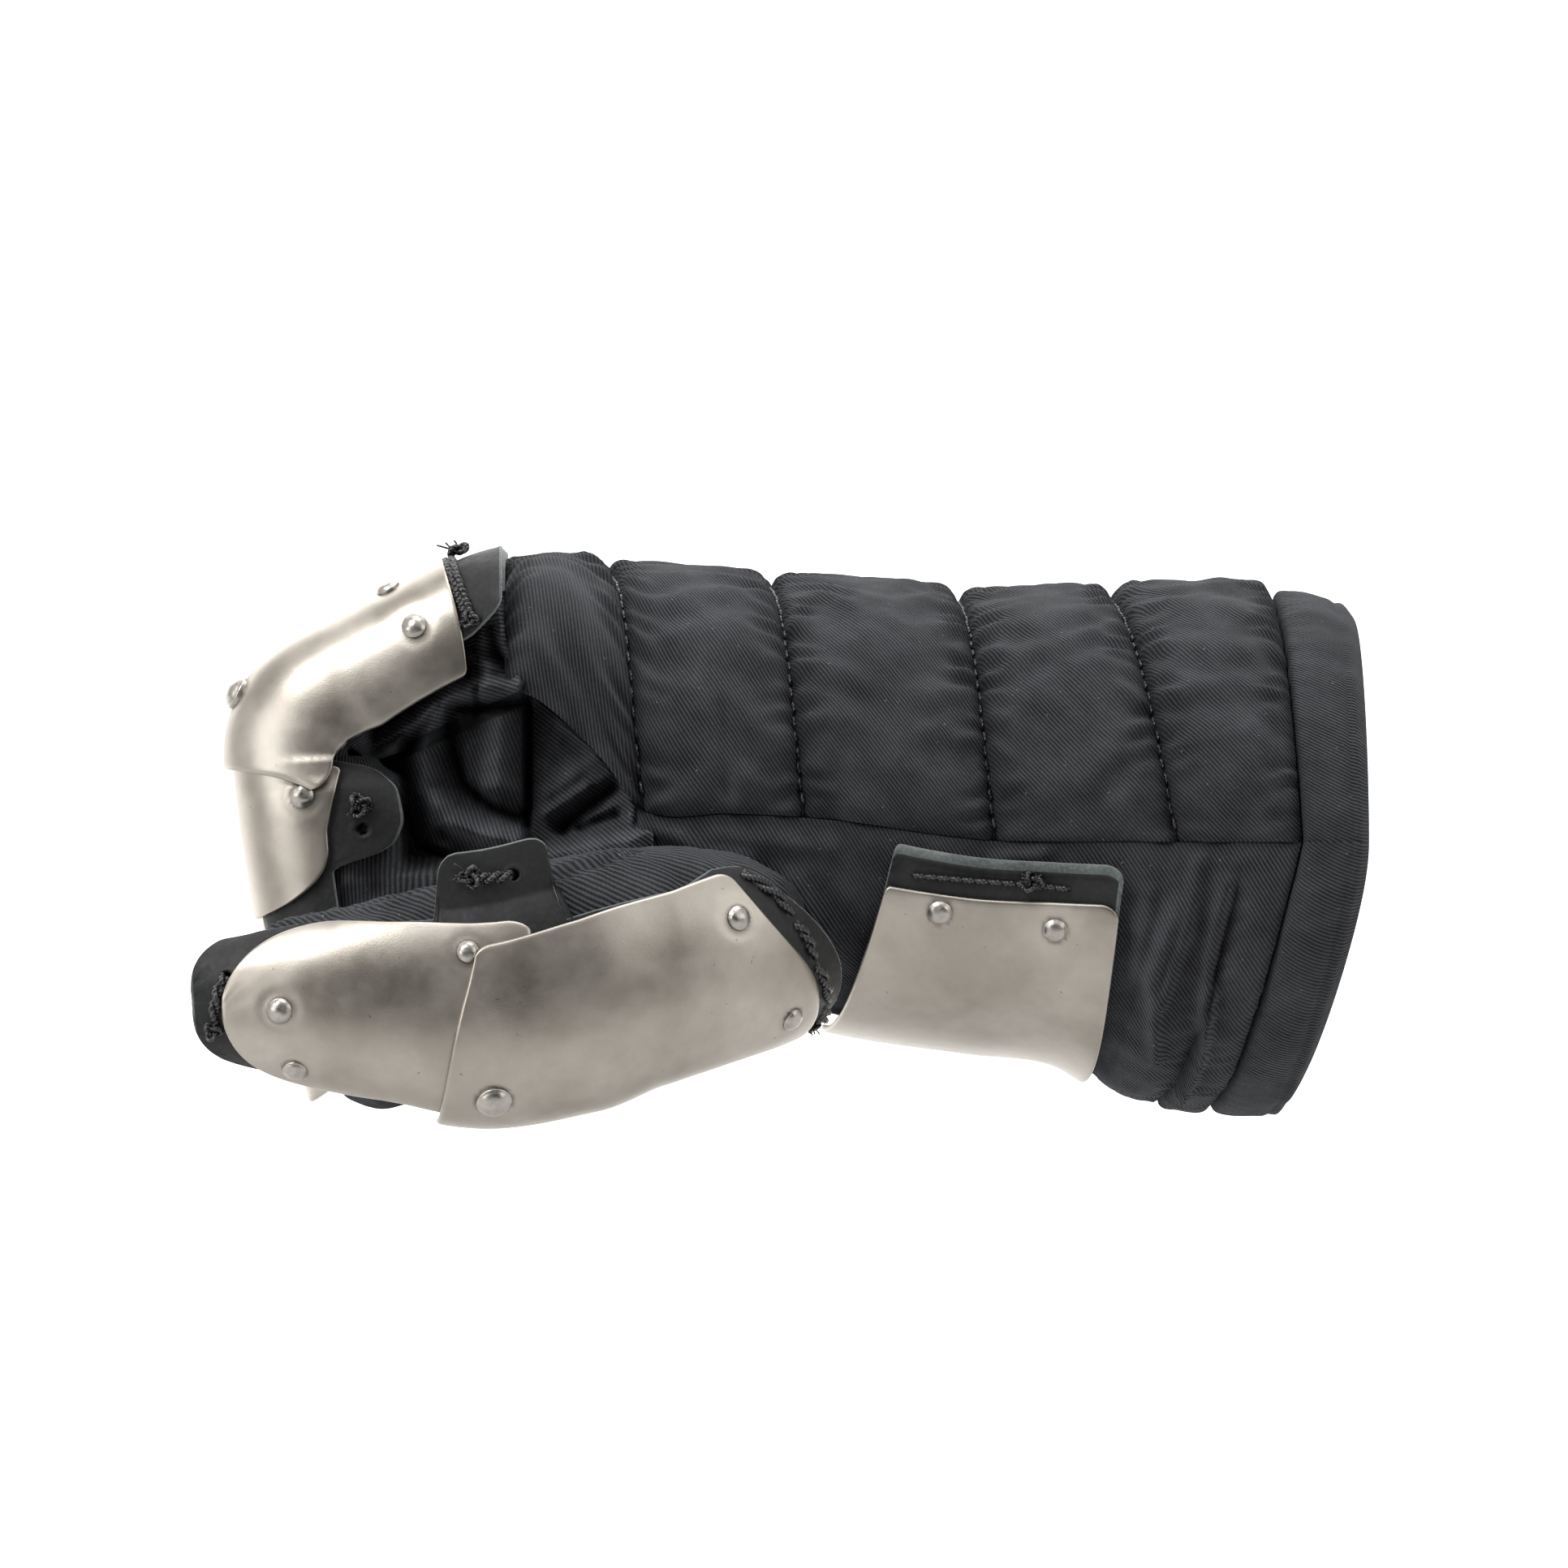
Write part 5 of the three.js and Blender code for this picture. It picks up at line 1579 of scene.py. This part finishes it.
@dataclass
class ThumbArmour:
    """The thumb: its sheath, three plates, the leather strip and the leather under the base plate."""

    finishes: Finishes
    thumb: Thumb

    def build(self) -> None:
        """Build the thumb's pieces."""
        ridges = (
            Fold(((84, -13.5), (100, -13.2), (112, -12.0)), 1.1, 1.3),
            Fold(((84, -16.2), (100, -15.6), (112, -14.0)), 1.1, 1.4),
            Fold(((84, -14.8), (112, -13.0)), 0.5, -1.2),
            Fold(((64.5, -11), (60, -11), (54.5, -11.4), (47, -13.5)), 0.45, -1.1),
            Fold(((64.5, -12), (58, -12), (50, -13)), 0.8, 0.7),
            Fold(((26, -8), (40, -9)), 1.6, 0.8),
        )
        Stall(self.finishes, self.thumb, start=12.5, folds=ridges, rib_turn=0.55, sunk=5.5).build()
        armour = Armour(self.finishes, "thumb", self.thumb)
        tip = Patch((68.5, 71, 74), (119.5, 119.5, 119.5), ((0, -43, 82), (0.45, -48, 72), (1, -58, 76)),
                ((0.07, 0.13), (0.42, 1)))
        armour.plate("thumb_tip_plate", tip, (Rivet(109.5, 9), Rivet(108, 50), Rivet(79.8, -29, 1.9, 0.9)),
                cells=(110, 90))
        knuckle = Patch(
            (37.2, 29.6, 21.8), (79, 82.4, 84.6), ((0, -48, 66), (0.3, -41, 82), (0.6, -35, 84),
            (1, -31, 90)),
            ((0.085, 0.16), (0.07, 0.13)),
        )
        rivets = (Rivet(38, -21), Rivet(30, 45), joint_rivet(77.5, 60))
        armour.plate("thumb_knuckle_plate", knuckle, rivets, (LAP + 0.1, 48, 61), (110, 90), soften=0.05)
        strip = Patch(
            (34, 22, 12), (125, 125, 125),
            (
                (0, -53, 62), (0.08, -51, 70), (0.15, -43, 74), (0.372, -38, 80), (0.375, -88, 80), (0.382,
                -96.5, 80), (0.395, -101.5, 80),
                (0.41, -103, 80), (0.565, -104, 78), (0.58, -102.5, 78), (0.593, -97, 78), (0.6, -88,
                78), (0.603, -50, 78),
                (0.76, -50, 70), (0.775, -62, 70), (1, -66, 66),
            ),
            (SQUARE_END, (0.12, 0.8)),
        )
        holes = ((77.2, -82, 1.0), (69.0, -78, 1.1), (118.6, -20, 0.9))
        armour.leather("thumb_leather", strip, (300, 130), 0.004, holes, fold=TAB_FOLD)
        base = Armour(self.finishes, "thumb_base")
        plate = Patch(
            (-91, -88.6, -80.3), (-46, -42.5, -38.8), ((0, -97, -12), (1, -97, -13)), (SQUARE_END,
            SQUARE_END),
        )
        base.plate("thumb_base_plate", plate, (Rivet(-70.3, -16), Rivet(-50, -18.5)), cells=(90, 90))
        square = Patch((-86, -84.5, -78.5), (-46, -42, -38), ((0, -88, -3), (1, -88, -5)),
                (SQUARE_END, SQUARE_END))
        base.leather("thumb_base_leather", square, (110, 120), 0.02, suede=2.1)


@dataclass
class Threads:
    """Waxed lacing, knots and thick stitches that hold the leather to the cloth."""

    finishes: Finishes
    index: Finger
    thumb: Thumb

    def knot(self, at: Array, normal: Array, size: float, seed: int) -> list[Shape]:
        """Tie a knot: a trefoil curve, pressed flat along the surface, with cut ends.

        Args:
            at: its middle.
            normal: the surface's normal there.
            size: its radius.
            seed: fixes how it lies.

        Returns:
            Its tubes.
        """
        rng = np.random.default_rng(seed)
        t = np.linspace(0, 2 * np.pi, 90)
        turn = rng.uniform(0, 6.28)
        x, y = np.sin(t) + 2 * np.sin(2 * t), np.cos(t) - 2 * np.cos(2 * t)
        a = unit(np.cross(normal, [0.2, 0.1, 0.95]))
        b = np.cross(normal, a)
        u, v = x * np.cos(turn) - y * np.sin(turn), x * np.sin(turn) + y * np.cos(turn)
        loop = at + (u[:, None] * a + v[:, None] * b) * size / 3 + normal * (0.55 * size - 0.32 * size
                * np.sin(3 * t))[:, None]
        shapes = [tube(loop, 0.24 * size, 8)]
        for _ in range(7):
            way = unit(rng.normal(size=3) + normal * 0.6)
            bend = rng.normal(size=3) * 0.5
            steps = np.linspace(0.2, 1.0, 7)[:, None]
            end = at + normal * 0.4 * size + way * steps * size * rng.uniform(1.0,
                    1.7) + bend * steps**2 * size * 0.5
            shapes.append(tube(end, 0.10 * size, 5))
        return shapes

    def lace(self, path: Array, width: float, turns: float, radius: float, normal: Array) -> list[Shape]:
        """Braid three strands along a path: each swings from side to side a third of a turn after the last.

        Args:
            path: points along the middle.
            width: how far the strands swing.
            turns: swings over the length.
            radius: thickness of a strand.
            normal: normals along the path.

        Returns:
            The strands.
        """
        along = unit(np.gradient(path, axis=0))
        across = unit(np.cross(along, normal))
        t = np.linspace(0, turns * 2 * np.pi, len(path))[:, None]
        return [
            tube(path + across * width * np.sin(t + k * 2.094) + normal * width * 0.55
                    * np.sin(2 * t + k * 4.189), radius, 7)
            for k in range(3)
        ]

    def over(self, digit: Digit, rows: tuple[tuple[float, float], ...], out: float,
            samples: int = 40) -> tuple[Array, Array]:
        """Lay a path on a digit through rows of s and angle; give its points and normals."""
        at = spline(np.array(rows), samples)
        high = np.full(len(at), out)
        fold = TAB_FOLD if digit is self.thumb else -180.0
        points = standing(digit, at[:, 0], at[:, 1], high, fold)
        return points, unit(standing(digit, at[:, 0], at[:, 1], high + 1, fold) - points)

    def build(self) -> None:
        """Lace the strips and tie their knots."""
        index, thumb = self.index, self.thumb
        joint_out = index.marks[3]
        top = LEATHER_IN + LEATHER
        shapes: list[Shape] = []
        path, normal = self.over(index, ((2.6, -62), (2.9, -30), (3.0, 0), (3.0, 30), (3.0, 62)), top + 0.5,
                220)
        shapes += self.lace(path, 0.85, 13, 0.52, normal)
        shapes += self.knot(path[-1], normal[-1], 1.5, 3)
        shapes += self.knot(*index.place(2.3, np.radians(-4), top + 0.8), 1.9, 4)
        at, up = index.place(joint_out + 8.6, np.radians(110), top)
        shapes += self.knot(at, up, 2.1, 5)
        for seed, (s, degrees, size) in enumerate(((78.3, -83, 1.9), (121.5, 24, 1.6), (16.5, 60, 1.3))):
            at = standing(thumb, np.array(s), np.array(degrees), np.array(top), TAB_FOLD)
            up = unit(standing(thumb, np.array(s), np.array(degrees), np.array(top + 1), TAB_FOLD) - at)
            shapes += self.knot(at, up, size, 20 + seed)
        for rows in (
            ((77.2, -82), (73.2, -79.5), (69.4, -78.2)),
            ((118.8, -20), (120.4, -4), (121.3, 20)),
            ((35, -47), (31.8, -33), (30.0, -19)), ((29.5, -14), (28.2, -2), (26.9, 12)),
            ((26.4, 16), (23.8, 29), (20.8, 41)), ((20.0, 44), (17.4, 52), (15.0, 60)),
        ):
            path, normal = self.over(thumb, rows, top + 0.15, 24)
            sag = np.sin(np.linspace(0, np.pi, len(path)))[:, None]
            twist = np.linspace(0, 9, len(path))[:, None]
            for k in (0.0, 3.14):
                side = np.cross(unit(np.gradient(path, axis=0)), normal)
                strand = path + normal * (sag * 0.8 - 0.4) + 0.55 * (side * np.cos(twist + k) + normal
                        * np.sin(twist + k))
                shapes.append(tube(strand, 0.62, 7))
        slit = np.array([(-75.0, -9.3), (-66, -8.9), (-56, -9.2), (-46.5, -10.2)])
        at = spline(slit, 26)
        for i in range(0, 24, 2):
            piece = np.linspace(at[i], at[min(i + 2, 25)], 6)
            bow = 0.5 * np.sin(np.linspace(0, np.pi, 6))
            shapes.append(tube(hand_point(piece[:, 0], np.radians(piece[:, 1]), top + 0.1 + bow), 0.55, 6))
        foot = hand_point(np.array(-54.0), np.radians(-8.6), top)
        shapes += self.knot(foot, unit(hand_point(np.array(-54.0), np.radians(-8.6), top + 1) - foot), 1.9,
                40)
        build("lacing_thread", joined(shapes), (self.finishes.thread,))


# ---------------------------------------------------------------- studio


@dataclass
class Studio:
    """A pale floor that sweeps up behind, soft lights and a long lens on the thumb's side."""

    centre: tuple[float, float, float] = (-0.0977, -0.045, 0.0131)
    view_width: float = 0.276
    distance: float = 3.0
    elevation: float = 1.0
    floor: float = -0.16
    sky_light: float = 0.72
    dim_light: float = 0.05
    floor_light: float = 0.95
    dim_side: tuple[float, float, float] = (0.08, -1.0, -0.3)
    dim_edges: tuple[float, float] = (0.4, 0.93)

    def build(self) -> None:
        """Build the floor, the lights and the camera."""
        profile = np.array([(-3600, 0), (-600, 0), (0, 0), (900, 0), (2300, 0), (2900, 60), (3200, 320),
                (3280, 900), (3280, 4200)], float)
        line = spline(profile, 60)
        x = np.linspace(-4200, 4000, 12)[None]
        y, z = line[:, :1], line[:, 1:] + self.floor / MM
        points = np.stack(np.broadcast_arrays(x, y, z), axis=-1)
        up = np.broadcast_to(np.array([0.0, -1, 1]), points.shape)
        shape = surface(points, None, None, up)
        mesh = bpy.data.meshes.new("studio_floor")
        mesh.from_pydata((shape.points * MM).tolist(), [], shape.quads.tolist())
        mesh.polygons.foreach_set("use_smooth", np.ones(len(shape.quads), bool))
        mesh.materials.append(Plain("studio_white", (0.86, 0.86, 0.86), glow=self.floor_light).make())
        floor = bpy.data.objects.new("studio_floor", mesh)
        bpy.context.collection.objects.link(floor)
        centre = Vector(self.centre)
        for name, place, size, power in (
            ("key_light", (-0.8, -0.85, 1.05), 0.5, 9.0),
            ("top_light", (0.1, -0.1, 1.3), 1.0, 8.0),
            ("fill_light", (1.2, -0.75, 0.5), 0.7, 2.0),
            ("left_light", (-1.25, -0.95, 0.15), 0.8, 4.5),
            ("back_light", (-0.3, 0.9, 0.9), 1.2, 6.0),
        ):
            light = bpy.data.lights.new(name, "AREA")
            light.size, light.energy = size, power
            lamp = bpy.data.objects.new(name, light)
            lamp.location = place
            lamp.rotation_euler = (centre - Vector(place)).to_track_quat("-Z", "Y").to_euler()
            bpy.context.collection.objects.link(lamp)
        world = bpy.data.worlds.new("studio_world")
        world.use_nodes = True
        self.sky(world.node_tree)
        bpy.context.scene.world = world
        bpy.context.scene.view_settings.view_transform = "Standard"
        lens = bpy.data.cameras.new("camera")
        lens.sensor_width = 36.0
        lens.lens = 36.0 * self.distance / self.view_width
        lens.clip_end = 20.0
        camera = bpy.data.objects.new("camera", lens)
        tilt = np.radians(self.elevation)
        camera.location = centre + Vector((0, -self.distance * np.cos(tilt), self.distance * np.sin(tilt)))
        camera.rotation_euler = (np.pi / 2 - tilt, 0, 0)
        bpy.context.collection.objects.link(camera)
        bpy.context.scene.camera = camera

    def sky(self, tree: bpy.types.NodeTree) -> None:
        """Light the room from all round, with a dim patch towards the thumb's side for the steel to mirror.

        Args:
            tree: the world's nodes. The patch is a smooth spot about one direction, dimmer the nearer to it.
        """
        add, link = tree.nodes.new, tree.links.new
        towards = add("ShaderNodeTexCoord").outputs["Generated"]
        spot = add("ShaderNodeVectorMath")
        spot.operation = "DOT_PRODUCT"
        link(towards, spot.inputs[0])
        spot.inputs[1].default_value = unit(np.array(self.dim_side))
        shade = add("ShaderNodeMapRange")
        shade.interpolation_type = "SMOOTHSTEP"
        link(spot.outputs["Value"], shade.inputs[0])
        for key, value in zip((1, 2, 3, 4), (self.dim_edges[0], self.dim_edges[1], self.sky_light,
                self.dim_light)):
            shade.inputs[key].default_value = value
        background = tree.nodes["Background"]
        background.inputs["Color"].default_value = (1.0, 0.985, 0.965, 1.0)
        link(shade.outputs[0], background.inputs["Strength"])


def main() -> None:
    """Build the gauntlet from the studio inwards, and report each piece."""
    logging.basicConfig(level=logging.INFO, format="%(message)s")
    Studio().build()
    finishes = Finishes()
    QuiltedBack(finishes).build()
    CuffBinding(finishes).build()
    web = Web(finishes)
    web.build()
    Palm(finishes).build(web)
    index = None
    for name, y, drop, near, far, plate in FINGERS:
        finger = Finger(name, 0.0, (0, -1, 0), y=y, drop=drop, near=near, far=far, plate=plate,
                slim=name == "index")
        FingerArmour(finishes, finger).build(web)
        index = index or finger
    thumb = Thumb("thumb", 123.5, (0, 0, -1))
    ThumbArmour(finishes, thumb).build()
    Threads(finishes, index, thumb).build()


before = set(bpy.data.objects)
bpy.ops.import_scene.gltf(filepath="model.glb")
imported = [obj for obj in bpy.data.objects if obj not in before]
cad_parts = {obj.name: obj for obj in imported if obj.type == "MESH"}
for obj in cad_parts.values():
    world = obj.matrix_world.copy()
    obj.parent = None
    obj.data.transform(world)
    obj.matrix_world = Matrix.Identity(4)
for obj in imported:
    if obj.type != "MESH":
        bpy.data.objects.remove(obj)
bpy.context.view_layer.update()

if __name__ == "__main__":
    main()
